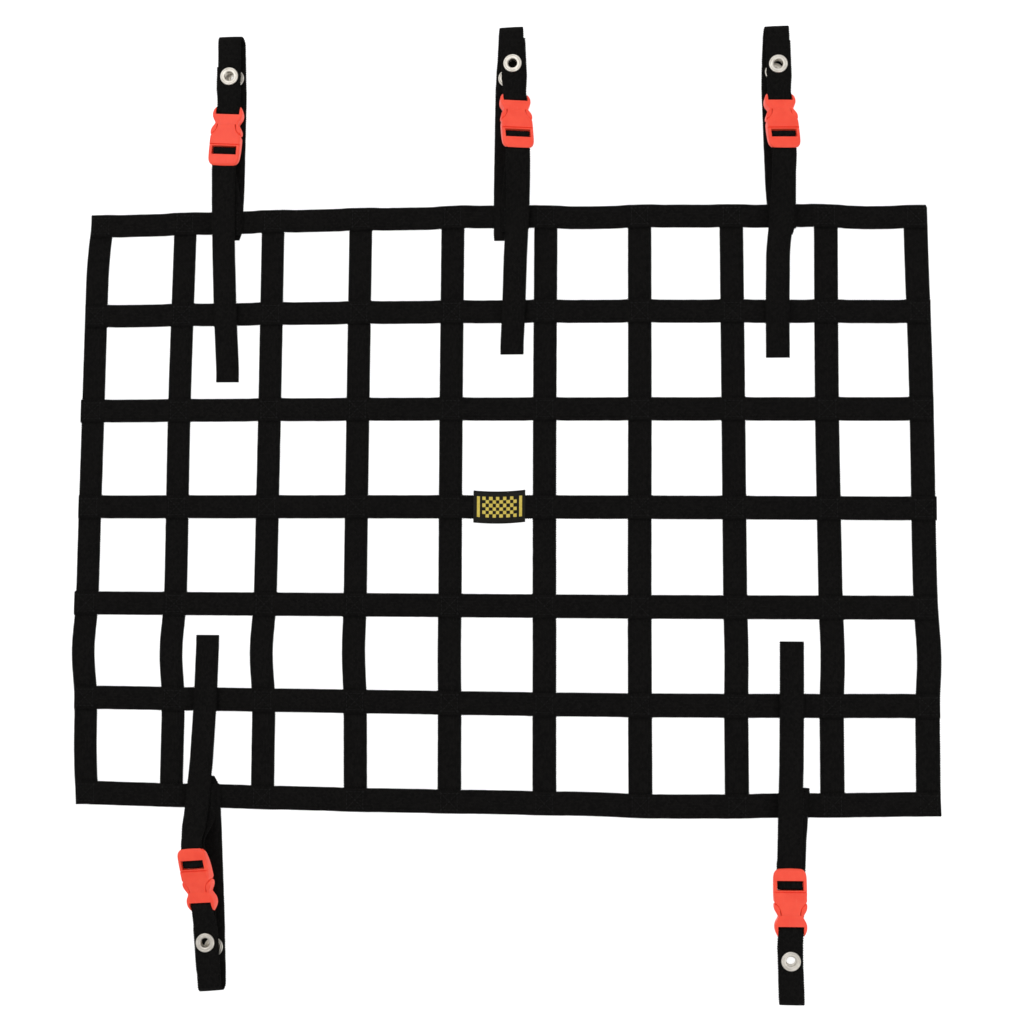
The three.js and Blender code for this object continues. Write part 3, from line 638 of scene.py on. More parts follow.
def loft(sections, corner, corner_steps=3, spans=1):
    """A closed bar along y through rows of (y, x0, x1, z0, z1), with rounded corners.

    corner is one radius, or gives the lower and the upper radius at y. The flat under and upper sides are
    divided into spans, so that they can be bent later.
    """
    quarter = [math.pi / 2 * k / corner_steps for k in range(corner_steps + 1)]
    points = []
    for y, x0, x1, z0, z1 in sections:
        low, high = corner(y) if callable(corner) else (corner, corner)
        most = min(x1 - x0, z1 - z0) / 2.001
        low, high = min(low, most), min(high, most)
        for cx, cz, r, start in ((x1 - low, z0 + low, low, -1), (x1 - high, z1 - high, high, 0),
                                 (x0 + high, z1 - high, high, 1), (x0 + low, z0 + low, low, 2)):
            for a in quarter:
                turn = start * math.pi / 2 + a
                points.append((cx + r * math.cos(turn), y, cz + r * math.sin(turn)))
            if start in (0, 2):
                run_from, run_to, z = (x1 - high, x0 + high, z1) if start == 0 else (x0 + low, x1 - low, z0)
                points += [(run_from + (run_to - run_from) * k / spans, y, z) for k in range(1, spans)]
    m = 4 * (corner_steps + 1) + 2 * (spans - 1)
    faces = [tuple(range(m))]
    for i in range(len(sections) - 1):
        for k in range(m):
            faces.append((i * m + k, (i + 1) * m + k, (i + 1) * m + (k + 1) % m, i * m + (k + 1) % m))
    faces.append(tuple(range((len(sections) - 1) * m, len(sections) * m))[::-1])
    mesh = new_mesh("loft", points, faces)
    outward(mesh)
    return mesh


def straight_bar(half, rows, corner=0.4):
    """A closed bar or block of one width, through rows of (y, z0, z1)."""
    return loft([(y, -half, half, z0, z1) for y, z0, z1 in rows], corner)


def outward(mesh):
    """Turns every face of a closed mesh outwards."""
    work = bmesh.new()
    work.from_mesh(mesh)
    bmesh.ops.remove_doubles(work, verts=work.verts, dist=1e-7)
    bmesh.ops.recalc_face_normals(work, faces=work.faces)
    work.to_mesh(mesh)
    work.free()


def flow(rows):
    """A smooth function through rows of (at, to), which runs on straight past its two ends."""
    ats = np.array([row[0] for row in rows], float)
    tos = np.array([row[1] for row in rows], float)
    first = np.maximum(np.arange(len(rows)) - 1, 0)
    second = np.minimum(np.arange(len(rows)) + 1, len(rows) - 1)
    slopes = (tos[second] - tos[first]) / (ats[second] - ats[first])

    def value(t):
        t = np.asarray(t, float)
        i = np.clip(np.searchsorted(ats, t, side="right") - 1, 0, len(rows) - 2)
        span = ats[i + 1] - ats[i]
        u = np.clip((t - ats[i]) / span, 0, 1)
        v = 1 - u
        inner = tos[i] * (1 + 2 * u) * v * v + tos[i + 1] * u * u * (3 - 2 * u)
        inner = inner + span * (slopes[i] * u * v * v - slopes[i + 1] * u * u * v)
        before = np.minimum(t - ats[0], 0) * slopes[0]
        after = np.maximum(t - ats[-1], 0) * slopes[-1]
        return inner + before + after

    return value


# Webbing

# The strap's cross-section, as (across, up) from -1 to 1, and how far each point goes with the pick's wave
SECTION = [
    (-0.955, -0.86, -0.5), (-0.35, -1.0, 0), (0.35, -1.0, 0), (0.955, -0.86, 0.5), (1.0, 0.0, 1.0),
    (0.955, 0.86, 0.5), (0.35, 1.0, 0), (-0.35, 1.0, 0), (-0.955, 0.86, -0.5), (-1.0, 0.0, -1.0),
]


def evenly(points, sides, step):
    """The same path with its points a step apart, and the distance along it."""
    lengths = np.concatenate([[0], np.cumsum(np.linalg.norm(np.diff(points, axis=0), axis=1))])
    at = np.linspace(0, lengths[-1], max(2, round(lengths[-1] / step) + 1))
    place = np.stack([np.interp(at, lengths, points[:, k]) for k in range(3)], axis=1)
    side = np.stack([np.interp(at, lengths, sides[:, k]) for k in range(3)], axis=1)
    return place, side / np.linalg.norm(side, axis=1, keepdims=True), at


def strap_mesh(name, points, sides, place, clipped):
    """A woven strap along a path, with what the selvage tree and the webbing's material read."""
    points, sides, along = evenly(np.array(points, float), np.array(sides, float), PICK / SAMPLES_PER_PICK)
    turn = np.array(place.to_3x3())
    points = points @ turn.T + np.array(place.translation)
    sides = sides @ turn.T
    tangents = np.gradient(points, axis=0)
    tangents /= np.linalg.norm(tangents, axis=1, keepdims=True)
    ups = np.cross(sides, tangents)
    ups /= np.linalg.norm(ups, axis=1, keepdims=True)
    ring = np.array(SECTION)
    count, m = len(points), len(ring)
    to_end = np.minimum(along, along[-1] - along)
    pinch = 1 - PINCH * np.clip(1 - to_end / PINCHED_END, 0, 1)
    width = np.tile(ring[:, 0] * (WEB_WIDTH / 2 + FRAY), (count, 1))
    if clipped:
        edge, depth, length = clipped
        taken = depth * np.clip(1 - along / length, 0, 1) / (WEB_WIDTH / 2)
        width = np.where(width * edge > 0, width * (1 - taken[:, None]), width)
    across = sides[:, None] * width[:, :, None]
    lift = ups[:, None] * (ring[None, :, 1:2] * WEB_HALF_THICK * pinch[:, None, None])
    co = points[:, None] + across + lift
    face_push = ups[:, None] * (ring[None, :, 1:2] * FACE_RIB / SELVAGE_BUMP)
    push = sides[:, None] * ring[None, :, 2:3] + face_push
    base = (np.arange(count - 1) * m)[:, None]
    k = np.arange(m)[None]
    after = (np.arange(m) + 1) % m
    quads = np.stack([base + k, base + m + k, base + m + after[None], base + after[None]], axis=-1)
    faces = [tuple(q) for q in quads.reshape(-1, 4).tolist()]
    faces += [tuple(range(m)), tuple(range(count * m - 1, (count - 1) * m - 1, -1))]
    mesh = new_mesh(name, co.reshape(-1, 3), faces)

    phase = np.where(ring[:, 0] < 0, 0.5, 0.0)
    sealed = np.clip(1 - to_end / SEALED_END, 0, 1)
    put_attribute(mesh, "along", np.repeat(along * MM, m))
    put_attribute(mesh, "phase", np.tile(phase, count))
    put_attribute(mesh, "sealed", np.repeat(sealed, m))
    mesh.attributes.new("push", "FLOAT_VECTOR", "POINT").data.foreach_set("vector", push.reshape(-1))
    layer = mesh.uv_layers.new(name="flat")
    corners = np.zeros(len(mesh.loops), np.int32)
    mesh.loops.foreach_get("vertex_index", corners)
    flat_x = ring[corners % m, 0] * WEB_WIDTH / 2 * MM
    flat_y = along[corners // m] * MM
    layer.data.foreach_set("uv", np.stack([flat_x, flat_y], axis=1).reshape(-1))
    return mesh, float(along[-1])


def put_attribute(mesh, name, values):
    """Writes one number for each point of a mesh."""
    mesh.attributes.new(name, "FLOAT", "POINT").data.foreach_set("value", np.asarray(values, float))


def centres_of(node, axis):
    """The middle of each cross-section of a straight CAD strap, in mm, from one end to the other."""
    co = np.array([v.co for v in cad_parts[node].data.vertices], float) / MM
    co = co[np.argsort(co[:, axis])]
    breaks = np.nonzero(np.diff(co[:, axis]) > CAD_SECTION_STEP)[0] + 1
    return np.array([(c.min(0) + c.max(0)) / 2 for c in np.split(co, breaks)])


def grid_path(node, axis):
    """A smooth path down a CAD strap of the net, and the level direction across it."""
    centres = centres_of(node, axis)
    own = OUTER_STRAPS.get(node, INNER_STRAP)
    tuck = UPRIGHT_TUCK if axis == 1 else 0.0
    other = 1 - axis
    drift = flow(list(zip(centres[:, axis], centres[:, other])))
    trim_low, trim_high = own["trim"]
    start = centres[0, axis] + trim_low + tuck
    end = centres[-1, axis] - trim_high - tuck
    at = np.linspace(start, end, PATH_POINTS)
    points = np.zeros((len(at), 3))
    points[:, axis] = at
    points[:, other] = drift(at) + flow(own["shape"])(at)
    height = np.pad(np.interp(at, centres[:, axis], centres[:, 2]), SOFTENED_OVER // 2, mode="edge")
    points[:, 2] = np.convolve(height, np.ones(SOFTENED_OVER) / SOFTENED_OVER, mode="valid")
    runs = np.gradient(points, axis=0)
    sides = np.stack([runs[:, 1], -runs[:, 0], np.zeros(len(at))], axis=1)
    return points, sides / np.linalg.norm(sides, axis=1, keepdims=True)


def bent_path(rows):
    """Points and sides along rows of (at, round, side), with every bend an arc."""
    points, sides = [], []

    def add(point, side):
        if points and (point - points[-1]).length < 0.01:
            return
        points.append(point)
        sides.append(side)

    for i, (at, bend, side) in enumerate(rows):
        before = rows[max(i - 1, 0)][0]
        after = rows[min(i + 1, len(rows) - 1)][0]
        run = after - before
        if side is None:
            side = Vector((abs(run.y), -run.x * math.copysign(1, run.y), 0)).normalized()
        if not bend or i in (0, len(rows) - 1):
            add(at, side)
            continue
        arrive = (at - before).normalized()
        leave = (after - at).normalized()
        turn = arrive.angle(leave)
        axis = arrive.cross(leave).normalized()
        start = at - arrive * bend * math.tan(turn / 2)
        to_start = arrive.cross(axis) * bend
        centre = start - to_start
        steps = max(1, math.ceil(turn / TURN_STEP))
        for k in range(steps + 1):
            add(centre + Matrix.Rotation(turn * k / steps, 3, axis) @ to_start, side)
    return [tuple(p) for p in points], [tuple(s) for s in sides]


def mount_place(m):
    """From a mounting strap's own frame to the net's, in millimetres."""
    turn = 0 if m["edge"] > 0 else math.pi
    return Matrix.Translation((m["x"], m["edge"] * BORDER_Y, 0)) @ Matrix.Rotation(turn, 4, "Z")


def buckle_place(m):
    """From the buckle's own frame to its mounting strap's."""
    pitch, roll, yaw = (math.radians(m[k]) for k in ("pitch", "roll", "yaw"))
    droop = max(0, -math.sin(pitch)) * BUCKLE_LENGTH + abs(math.sin(roll)) * BUCKLE_HALF
    turn = Matrix.Rotation(-yaw, 4, "Z") @ Matrix.Rotation(pitch, 4, "X") @ Matrix.Rotation(-roll, 4, "Y")
    return Matrix.Translation((m["buckle_side"], m["buckle"], BUCKLE_SEAT + droop)) @ turn


def inside_buckle(m, y, z, bend):
    """A row of a strap's path at a place in the buckle, level with the buckle across."""
    place = buckle_place(m)
    return place @ Vector((0, y, z)), bend, (place.to_3x3() @ Vector((1, 0, 0))).normalized()


def back_side(m, y):
    """How far across the loop's back layer is, at a distance from the border."""
    if y < m["eye_back"]:
        t = y / m["eye_back"]
        return m["back_at_eye"] * t + 4 * m["bow"] * max(0, t) * (1 - t)
    past = (y - m["eye_back"]) / (m["reach"] - m["eye_back"])
    return m["back_at_eye"] + (m["fold"] - m["back_at_eye"]) * past


def front_side(m, y):
    """How far across the loop's front layer is, at a distance from the border."""
    start = m["eye_front"] - FRONT_LEVEL
    return m["front_side"] + (m["fold"] - m["front_side"]) * (y - start) / (m["reach"] - start)


def loop_path(m):
    """From the sewn end out to the fold, back over the plug's bar and under itself."""
    fold_at = m["reach"] - CAD_THICK / 2
    straight = fold_at - LOOP_ROUND
    front_lean = math.atan((m["front_side"] - m["fold"]) / (straight - m["eye_front"]))
    lean = (front_lean - math.atan(m["fold"] / straight)) / 2
    fold_side = Vector((math.cos(lean), math.sin(lean), 0))

    def on_back(y, z, bend=0):
        return Vector((back_side(m, y), y, z)), bend, None

    def on_front(y, z, bend=0, beside=0.0):
        return Vector((front_side(m, y) + beside, y, z)), bend, None

    front_from = m["eye_front"] - FRONT_LEVEL
    return bent_path([
        (Vector((m["back_at_tuck"], -m["tuck"], LOOP_SEWN)), 0, None),
        on_back(LOOP_LEAVES, LOOP_SEWN, SOFT_BEND),
        on_back(LOOP_LANDS, ON_FLOOR, SOFT_BEND),
        on_back(m["eye_back"] - EYELET_RAMP, ON_FLOOR, SOFT_BEND),
        on_back(m["eye_back"] - EYELET_LEVEL, LOOP_EYELET, SOFT_BEND),
        on_back(m["eye_back"] + EYELET_LEVEL, LOOP_EYELET, SOFT_BEND),
        on_back(m["eye_back"] + EYELET_RAMP, ON_FLOOR, SOFT_BEND),
        (Vector((m["fold"] + m["skew"], fold_at, ON_FLOOR)), LOOP_ROUND, fold_side),
        (Vector((m["fold"] - m["skew"], fold_at, LOOP_TOP)), LOOP_ROUND, fold_side),
        on_front(front_from, LOOP_TOP, FRONT_BEND),
        inside_buckle(m, BAR_WRAP["over_from"], BAR_WRAP["high"], BAR_BEND),
        inside_buckle(m, BAR_WRAP["turn"], BAR_WRAP["high"], TIGHT_BEND),
        inside_buckle(m, BAR_WRAP["turn"], BAR_WRAP["low"], TIGHT_BEND),
        inside_buckle(m, BAR_WRAP["under_to"], BAR_WRAP["low"], FLAP_BEND),
        on_front(front_from, LOOP_TOP - LAYER, BAR_BEND, m["flap_side"]),
        on_front(m["flap"], LOOP_TOP - LAYER, 0, m["flap_side"]),
    ])


def adjuster_path(m):
    """From the sewn end into the socket, round its grip bar and back over the net."""
    def at(side, y, z, bend=0):
        return Vector((side, y, z)), bend, None

    return bent_path([
        at(m["standing"], -ADJUSTER_TUCK, ADJUSTER_SEWN),
        at(m["standing"], ADJUSTER_LEAVES, ADJUSTER_SEWN, SOFT_BEND),
        inside_buckle(m, GRIP_WRAP["under_from"], GRIP_WRAP["low"], SOFT_BEND),
        inside_buckle(m, GRIP_WRAP["turn"], GRIP_WRAP["low"], TIGHT_BEND),
        inside_buckle(m, GRIP_WRAP["turn"], GRIP_WRAP["high"], TIGHT_BEND),
        inside_buckle(m, GRIP_WRAP["under_end_bar"], GRIP_WRAP["over"], END_BAR_BEND),
        inside_buckle(m, GRIP_WRAP["over_to"], GRIP_WRAP["over"], GRIP_BEND),
        at(m["tail_at_border"], TAIL_BEND, TAIL_OVER_BORDER, STIFF_BEND),
        at(m["tail_mid"], -TAIL_MID, TAIL_IN_GAP, STIFF_BEND),
        at(m["tail_low"], -PITCH_Y, TAIL_OVER_CROSSBAR, STIFF_BEND),
        at(m["tail_end"], TAIL_BEND - m["tail_reach"], TAIL_LANDING, LANDING_BEND),
        at(m["tail_end"], -m["tail_reach"], ON_FLOOR),
    ])


def woven_strap(name, path, replaces, place=Matrix.Identity(4), holes=(), clipped=None):
    """A finished strap: its mesh with selvage and holes, and its body."""
    mesh, length = strap_mesh(name, *path, place, clipped)
    piece = baked(name, mesh, selvage_tree, material=webbing)
    if holes:
        cut_out(piece, holes)
    piece.data.shade_smooth()
    piece.data.set_sharp_from_angle(angle=math.radians(SHARP_WEB_EDGE))
    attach(piece, BODY)
    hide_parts(replaces)
    return piece


# Buckles

def window_cutter(x, y0, y1, z0, z1, flare):
    """A block that opens out towards its top and bottom, so that it leaves a softened rim."""
    levels = [(z0 - 1, flare + 1), (z0 + flare, 0), (z1 - flare, 0), (z1 + 1, flare + 1)]
    points = []
    for z, grow in levels:
        wide, low, high = x + grow, y0 - grow, y1 + grow
        points += [(-wide, low, z), (wide, low, z), (wide, high, z), (-wide, high, z)]
    faces = [(0, 1, 2, 3), (12, 13, 14, 15)]
    for i in range(3):
        for k in range(4):
            faces.append((4 * i + k, 4 * i + (k + 1) % 4, 4 * i + 4 + (k + 1) % 4, 4 * i + 4 + k))
    mesh = new_mesh("window", points, faces)
    outward(mesh)
    return mesh


# Half the socket's width along y: round corners at the strap end, and a mouth that narrows between the pads
socket_half = flow([
    (0, 8.8), (0.5, 10.2), (1.2, 11.3), (2.2, 12.15), (3.4, 12.65), (5.5, 13.0), (8, 13.1), (16, 13.1),
    (22, 12.95), (25.2, 12.6), (27.2, 10.9), (29.4, 9.1), (32, 7.9), (35.2, 7.4)])


def socket_mesh():
    """The half that holds the tail: a hollow shell with a window, a grip bar and a narrowing mouth."""
    lower_top = flow([(0, 7.5), (0.5, 8.15), (1.4, 8.65), (3, 8.95), (6, 9.12), (12, 9.2), (STEP_AT, 9.2)])
    groove = [(STEP_AT - 0.8, 9.15), (STEP_AT - 0.66, 8.5), (STEP_AT - 0.1, 8.4), (STEP_AT, 8.5)]
    upper_top = flow([(STEP_AT, 9.5), (26, 9.45), (31, 9.15), (MOUTH_AT, 8.85)])
    under = flow([(0, 6.6), (0.6, 5.4), (1.6, 4.4), (3.5, 3.3), (7, 2.1), (12, 0.9), (18, 0.25), (26, 0),
                  (MOUTH_AT, 0.5)])
    lower = [0, 0.25, 0.6, 1.2, 2.2, 3.4, 4.6, 6, 8, 10, 12, 14, 16]
    upper = [STEP_AT + 0.06, 20, 22, 23.4, 24.4, 25.2, 26, 26.8, 27.6, 28.6, 29.6, 30.8, 32, 33.6, MOUTH_AT]
    rows = [(y, lower_top(y)) for y in lower] + groove + [(y, upper_top(y)) for y in upper]
    under_round = flow([(0, 2.8), (12, 2.6), (24, 1.8), (30, 1.2), (MOUTH_AT, 1.0)])
    top_round = flow([(0, 1.8), (24, 1.6), (28, 1.1), (MOUTH_AT, 0.8)])
    shell = loft([(y, -socket_half(y), socket_half(y), under(y), z) for y, z in rows],
                 lambda y: (float(under_round(y)), float(top_round(y))), 4, 8)
    piece = add_object("shell", shell)
    cavity = straight_bar(CAVITY_HALF, [(18.6, 1.9, 7.6), (36, 1.9, 7.6)], 0.5)
    window = window_cutter(SOCKET_SLOT_HALF, 8.7, 16.1, 0, 9.2, 0.3)
    slot = straight_bar(SOCKET_SLOT_HALF, [(-1, -1, 6.95), (9.3, -1, 7.1)])
    cut_out(piece, [cavity, window, slot])
    grip = straight_bar(GRIP_BAR_HALF, [
        (10.2, 3.4, 4.7), (10.7, 3.0, 5.4), (13.2, 3.0, 6.2), (13.7, 3.4, 5.8)])
    mesh = joined([piece.data, grip])
    bpy.data.objects.remove(piece)
    for vertex in mesh.vertices:
        x, y, _ = vertex.co / MM
        if y < END_BULGE_OVER:
            vertex.co.y -= END_BULGE * (1 - (x / BUCKLE_HALF) ** 2) * (1 - y / END_BULGE_OVER) * MM
    return mesh


def plug_mesh():
    """The half that the loop holds: a flared base with horns and a bar, prongs with pads, and a guide."""
    base_from = MOUTH_AT + 0.03
    half = flow([(base_from, 9.8), (37, 9.9), (39, 10.9), (41, 12.0), (43, 12.6), (45.2, 12.7), (47, 12.45),
                 (48.6, 12.0), (50, 11.4), (51.2, 10.8), (HORN_TIP, 10.3)])
    top = flow([(base_from, 8.85), (37, 8.9), (44, 8.8), (48, 8.4), (50.5, 7.5), (HORN_TIP, 6.4)])
    under = flow([(base_from, 1.0), (37, 0.7), (46, 0.7), (49, 1.6), (HORN_TIP, 3.6)])
    stations = [base_from, 36.2, 37, 38, 39, 40, 41, 42, 43, 44.2, 45.5, 46.6, 47.5, 48.3, 49, 49.8, 50.5,
                51.1, 51.6, HORN_TIP]
    base = add_object("base", loft([(y, -half(y), half(y), under(y), top(y)) for y in stations], 1.4, 4))
    cut_out(base, [straight_bar(PLUG_SLOT_HALF, [(44.1, -2, 12), (54, -2, 12)], 0.3)])
    bar = straight_bar(GRIP_BAR_HALF, [
        (46.7, 4.1, 5.4), (47.1, 3.65, 5.85), (48.3, 3.65, 5.85), (48.7, 4.1, 5.4)])
    guide = loft([(21.7, -1.4, 1.4, 3.9, 5.6), (22.6, -2, 2, 3.4, 6.1), (36.5, -2, 2, 3.4, 6.1)], 0.4)
    parts = [base.data, bar, guide]
    crease = flow([(26, 0.02), (30, 0.02), (31.4, 0.12), (33.2, 0.38), (35, 0.4), (36.2, 0.22)])
    outer = flow([(26.1, 12.35), (26.6, 12.75), (27.4, 12.95), (29, 12.95), (31, 12.6), (33, 11.7),
                  (35, 10.5), (36.2, 9.95)])
    crown = flow([(26.1, 6.4), (26.8, 8.0), (28, 8.9), (32, 8.9), (36.2, 8.5)])
    belly = flow([(26.1, 3.9), (26.8, 2.4), (28, 1.5), (32, 1.1), (36.2, 1.1)])
    pads = [26.1, 26.4, 26.8, 27.4, 28, 29, 30, 31, 32, 33, 34, 35, 36.2]

    def inner(y):
        return min(socket_half(y) + crease(y), 12.0)

    arm_in = flow([(21.6, 8.9), (22.6, 8.4), (28.3, 8.7), (33, 8.3)])
    arm_out = flow([(21.6, 9.6), (23.3, 10.4), (27.5, 10.4), (29, 10.6), (33, 10.6)])
    arms = [21.6, 22.2, 22.8, 23.6, 25, 26.5, 28, 29.5, 31, 33]
    for flip in (1, -1):
        for ys, lo, hi, z0, z1, corner in (
                (pads, inner, outer, belly, crown, 0.7),
                (arms, arm_in, arm_out, lambda y: 2.3, lambda y: 7.2, 0.5)):
            rows = []
            for y in ys:
                a, b = sorted((flip * float(lo(y)), flip * float(hi(y))))
                rows.append((y, a, b, z0(y), z1(y)))
            parts.append(loft(rows, corner))
    mesh = joined(parts)
    bpy.data.objects.remove(base)
    return mesh


def rigid_piece(name, mesh, material, replaces, place):
    """A hard piece: a copy of a mesh put in its place, in the net's frame."""
    own = mesh.copy()
    scale = Matrix.Diagonal((MM, MM, MM, 1))
    own.transform(scale @ place @ scale.inverted())
    own.materials.clear()
    own.materials.append(material)
    piece = add_object(name, own, SHARP_HARD_EDGE)
    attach(piece, BODY)
    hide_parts(replaces)
    return piece


# Eyelets

def eyelet_mesh(grip):
    """A screw eyelet on a strap of thickness grip: two flat flanges on a barrel, with a bore through them."""
    under = grip / 2 - EYELET_BITE
    crown = grip / 2 + EYELET_CLEAR + EYELET_FLANGE
    wall = EYELET_BORE + EYELET_BARREL
    lip_in, lip_up = EYELET_LIP
    half = [(EYELET_BORE, 0)]
    half += [(EYELET_BORE + out, crown - drop) for out, drop in EYELET_BEVEL]
    half += [(r, crown - drop) for r, drop in EYELET_FACE]
    roll_r, roll_z = EYELET_RIM - EYELET_ROLL, crown - EYELET_ROLL
    half += [(roll_r + EYELET_ROLL * math.sin(a), roll_z + EYELET_ROLL * math.cos(a))
             for a in np.linspace(0, math.radians(90), 6)]
    half += [(EYELET_RIM, under + lip_up), (EYELET_RIM - lip_in, under), (wall, under), (wall, 0)]
    profile = half + [(r, -z) for r, z in reversed(half[:-1])][:-1]
    steps = EYELET_STEPS
    points = []
    for k in range(steps):
        a = math.tau * k / steps
        points += [(r * math.cos(a), r * math.sin(a), z) for r, z in profile]
    m = len(profile)
    faces = []
    for k in range(steps):
        here, there = k * m, (k + 1) % steps * m
        faces += [(here + i, there + i, there + (i + 1) % m, here + (i + 1) % m) for i in range(m)]
    mesh = new_mesh("eyelet", points, faces)
    outward(mesh)
    return mesh


# Label

def label_wave(u):
    """How far the label's weft bows up the net, at u from -1 to 1 across it."""
    return LABEL_BOW * (u * u - LABEL_BOW_MIDDLE) + LABEL_TILT * u


def label_piece():
    """The woven label: a thin sheet over the cross strap, with a gentle wave along its long edges."""
    low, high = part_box("label")
    centre = (low + high) / 2 / MM
    width, height = LABEL_SIZE
    across, up = LABEL_CELLS
    xs = np.linspace(-1, 1, across + 1)
    ys = np.linspace(-1, 1, up + 1)
    points, flat = [], []
    for face in (1, -1):
        for v in ys:
            for u in xs:
                x, y = u * width / 2, v * height / 2
                droop = LABEL_DROOP * max(0.0, (abs(y) - LABEL_DROOP_FROM) / (height / 2 - LABEL_DROOP_FROM))
                curl = LABEL_CURL * max(0.0, abs(u) - LABEL_CURL_FROM) / (1 - LABEL_CURL_FROM)
                wave = label_wave(u)
                z = LAYER + LABEL_THICK / 2 + face * LABEL_THICK / 2 - droop + curl
                points.append((centre.x + x, centre.y + y + wave, z))
                flat.append((x * MM, y * MM))
    n = across + 1
    size = n * (up + 1)
    faces = []
    for j in range(up):
        for i in range(across):
            a = j * n + i
            faces.append((a, a + 1, a + n + 1, a + n))
            faces.append((size + a, size + a + n, size + a + n + 1, size + a + 1))
    rim = list(range(n)) + [j * n + n - 1 for j in range(1, up + 1)]
    rim += [up * n + i for i in range(n - 2, -1, -1)] + [j * n for j in range(up - 1, 0, -1)]
    for a, b in zip(rim, rim[1:] + rim[:1]):
        faces.append((a, size + a, size + b, b))
    mesh = new_mesh("woven_label", points, faces)
    layer = mesh.uv_layers.new(name="flat")
    for loop in mesh.loops:
        layer.data[loop.index].uv = flat[loop.vertex_index]
    mesh.materials.append(label_cloth)
    piece = add_object("woven_label", mesh, SHARP_LABEL_EDGE)
    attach(piece, BODY)
    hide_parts("label")
    return piece, centre


def label_seam(centre):
    """The lines of the seam that holds the label, a little way in from its edges."""
    half_x, half_y = LABEL_SIZE[0] / 2 - LABEL_SEAM_IN, LABEL_SIZE[1] / 2 - LABEL_SEAM_IN
    corners = [(-1, -1), (1, -1), (1, 1), (-1, 1)]
    lines = []
    for a, b in zip(corners, corners[1:] + corners[:1]):
        line = []
        for t in np.linspace(0, 1, LABEL_SEAM_POINTS):
            u, v = a[0] + (b[0] - a[0]) * t, a[1] + (b[1] - a[1]) * t
            z = LAYER + LABEL_THICK + LABEL_SEAM_OUT - (LABEL_SEAM_DROOP if abs(v) == 1 else 0.0)
            line.append((centre.x + u * half_x, centre.y + v * half_y + label_wave(u), z))
        lines.append(line)
    return lines


# Stitching

def stitch_lines(name, lines, up):
    """Stitches along closed or open lines of points in mm, standing on a face whose direction is up."""
    points, edges = [], []
    for line in lines:
        start = len(points)
        points += line
        edges += [(start + k, start + k + 1) for k in range(len(line) - 1)]
    mesh = new_mesh(name, points, [], edges)
    mesh.attributes.new("up", "FLOAT_VECTOR", "POINT").data.foreach_set("vector", list(up) * len(points))
    piece = baked(name, mesh, stitch_tree, material=thread)
    piece.data.shade_smooth()
    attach(piece, BODY)
    return piece


def box_with_cross(x, y, z):
    """The lines of a square of stitches with a cross in it, round a place in mm."""
    corners = ((-1, -1), (1, -1), (1, 1), (-1, 1))
    a, b, c, d = [(x + sx * BOX_HALF, y + sy * BOX_HALF, z) for sx, sy in corners]
    return [[a, b], [b, c], [c, d], [d, a], [a, c], [b, d]]


# The camera, the light and the floor

def add_camera():
    """The camera of the photograph, nearly straight above the net."""
    data = bpy.data.cameras.new("camera")
    data.sensor_width = SENSOR
    data.lens = CAMERA_LENS
    data.clip_start = 0.01
    data.clip_end = 20
    camera = bpy.data.objects.new("camera", data)
    bpy.context.scene.collection.objects.link(camera)
    back = -CAMERA_LOOKS.normalized()
    right = CAMERA_UP.cross(back).normalized()
    up = back.cross(right)
    turn = Matrix((right, up, back)).transposed().to_4x4()
    camera.matrix_world = Matrix.Translation(CAMERA_PLACE * MM) @ turn
    bpy.context.scene.camera = camera


def add_softbox(name, place, size, power):
    """A soft area light that looks at the middle of the net."""
    data = bpy.data.lights.new(name, "AREA")
    data.shape = "RECTANGLE"
    data.size, data.size_y = size
    data.energy = power
    light = bpy.data.objects.new(name, data)
    light.location = place
    light.rotation_euler = (-Vector(place)).to_track_quat("-Z", "Y").to_euler()
    bpy.context.scene.collection.objects.link(light)


def add_studio():
    """An even pale light all round, two soft boxes and a floor."""
    scene = bpy.context.scene
    scene.view_settings.view_transform = "Standard"
    world = bpy.data.worlds.new("studio")
    world.use_nodes = True
    world.node_tree.nodes["Background"].inputs["Color"].default_value = (0.98, 0.985, 1.0, 1)
    world.node_tree.nodes["Background"].inputs["Strength"].default_value = ROUND_LIGHT
    scene.world = world
    for name, place, size, power in SOFTBOXES:
        add_softbox(name, place, size, power)
    mesh = bpy.data.meshes.new("pale_floor")
    corners = [(sx * FLOOR_REACH, sy * FLOOR_REACH, -FLOOR_DROP * MM)
               for sx, sy in ((-1, -1), (1, -1), (1, 1), (-1, 1))]
    mesh.from_pydata(corners, [], [(0, 1, 2, 3)])
    mesh.materials.append(pale_floor_paint())
    add_object("pale_floor", mesh)


# The scene

add_camera()
add_studio()

weave_group = build_weave_group()
mottle_group = build_mottle_group()
webbing = black_webbing(weave_group, mottle_group)
thread = black_thread(mottle_group)
plastic = red_plastic(mottle_group)
nickel = bright_nickel(mottle_group)
label_cloth = woven_label_cloth(weave_group, mottle_group)
selvage_tree = build_selvage_tree()
stitch_tree = build_stitch_tree()

upright_paths, crossbar_paths = [], []
for i in range(UPRIGHTS):
    node = f"upright_{i + 1}"
    path = grid_path(node, 1)
    upright_paths.append(path)
    woven_strap(f"woven_{node}", path, node)
for j in range(CROSSBARS):
    node = f"crossbar_{j + 1}"
    path = grid_path(node, 0)
    crossbar_paths.append(path)
    woven_strap(f"woven_{node}", path, node)

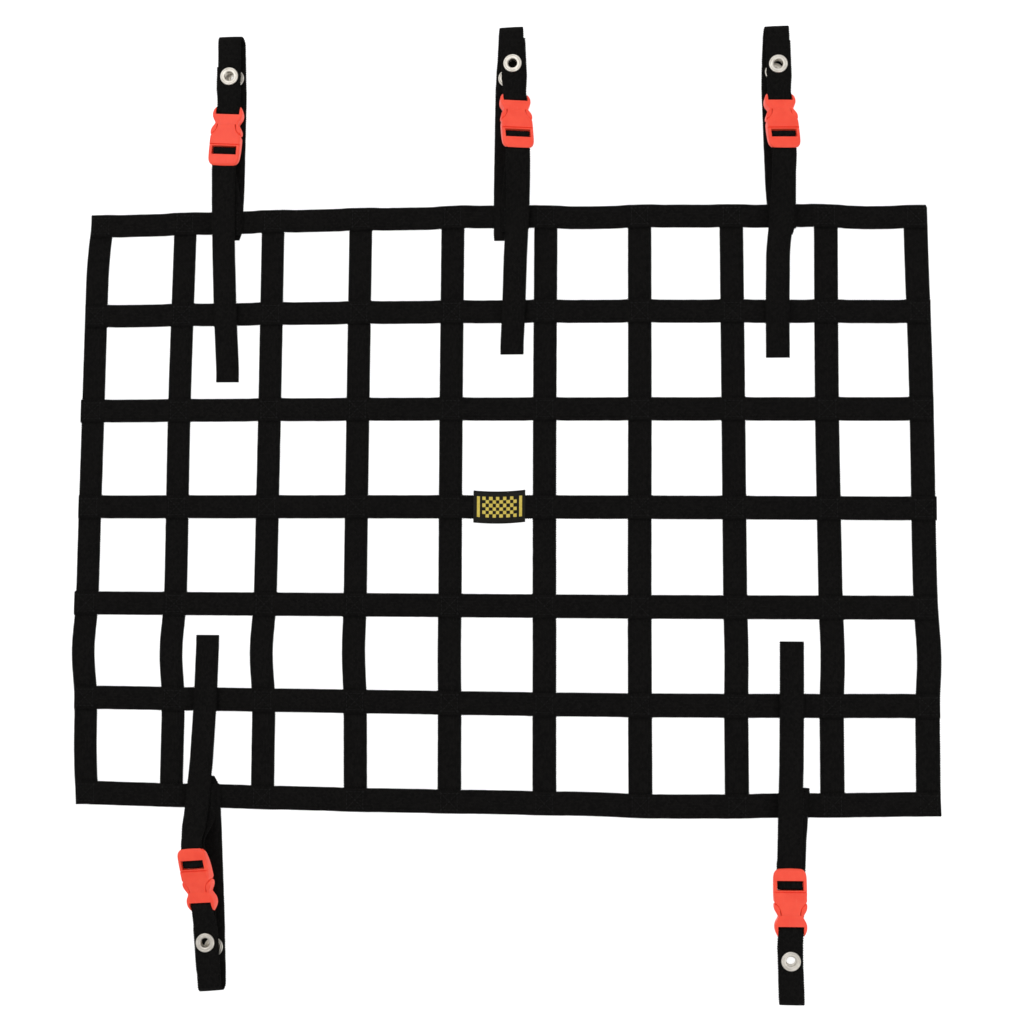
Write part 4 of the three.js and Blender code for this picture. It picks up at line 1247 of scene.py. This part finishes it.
top_lines, under_lines = [], []
for points, _ in crossbar_paths:
    for column, _ in upright_paths:
        y = np.interp(column[len(column) // 2, 0], points[:, 0], points[:, 1])
        x = np.interp(y, column[:, 1], column[:, 0])
        top_lines += box_with_cross(x, y, BOX_TOP)
        under_lines += box_with_cross(x, y, BOX_UNDER)[:4]
stitch_lines("grid_stitching", top_lines, (0, 0, 1))
stitch_lines("grid_stitching_under", under_lines, (0, 0, -1))

socket_shape = socket_mesh()
plug_shape = plug_mesh()
front_eyelet_shape = eyelet_mesh(CAD_THICK + LAYER)
back_eyelet_shape = eyelet_mesh(CAD_THICK)
for m in MOUNTS:
    name = m["name"]
    place = mount_place(m)
    front_x = front_side(m, m["eye_front"]) + m.get("eye_front_side", 0)
    back_x = back_side(m, m["eye_back"]) + m.get("eye_back_side", 0)
    front = place @ Vector((front_x, m["eye_front"], LOOP_TOP - LAYER / 2))
    back = place @ Vector((back_x, m["eye_back"], LOOP_EYELET))
    holes = [drum(middle.x, middle.y, middle.z - reach, middle.z + reach, WEB_HOLE)
             for middle, reach in ((back, WEB_HOLE_REACH["back"]), (front, WEB_HOLE_REACH["front"]))]
    woven_strap(f"woven_loop_{name}", loop_path(m), f"loop_strap_{name}", place, holes,
                m["clipped"])
    woven_strap(f"woven_adjuster_{name}", adjuster_path(m), f"adjuster_strap_{name}",
                place)
    buckle = place @ buckle_place(m)
    rigid_piece(f"socket_{name}", socket_shape, plastic, f"buckle_socket_{name}", buckle)
    rigid_piece(f"plug_{name}", plug_shape, plastic, f"buckle_plug_{name}", buckle)
    rigid_piece(f"front_eyelet_{name}", front_eyelet_shape, nickel, f"eyelet_front_{name}",
                Matrix.Translation(front))
    rigid_piece(f"back_eyelet_{name}", back_eyelet_shape, nickel, f"eyelet_back_{name}",
                Matrix.Translation(back))
    sewn = place @ Vector((m["standing"], 0, ADJUSTER_SEWN + WEB_HALF_THICK + THREAD_OUT))
    stitch_lines(f"mount_stitching_{name}", box_with_cross(*sewn), (0, 0, 1))

label, label_centre = label_piece()
seam = stitch_lines("label_stitching", label_seam(label_centre), (0, 0, 1))
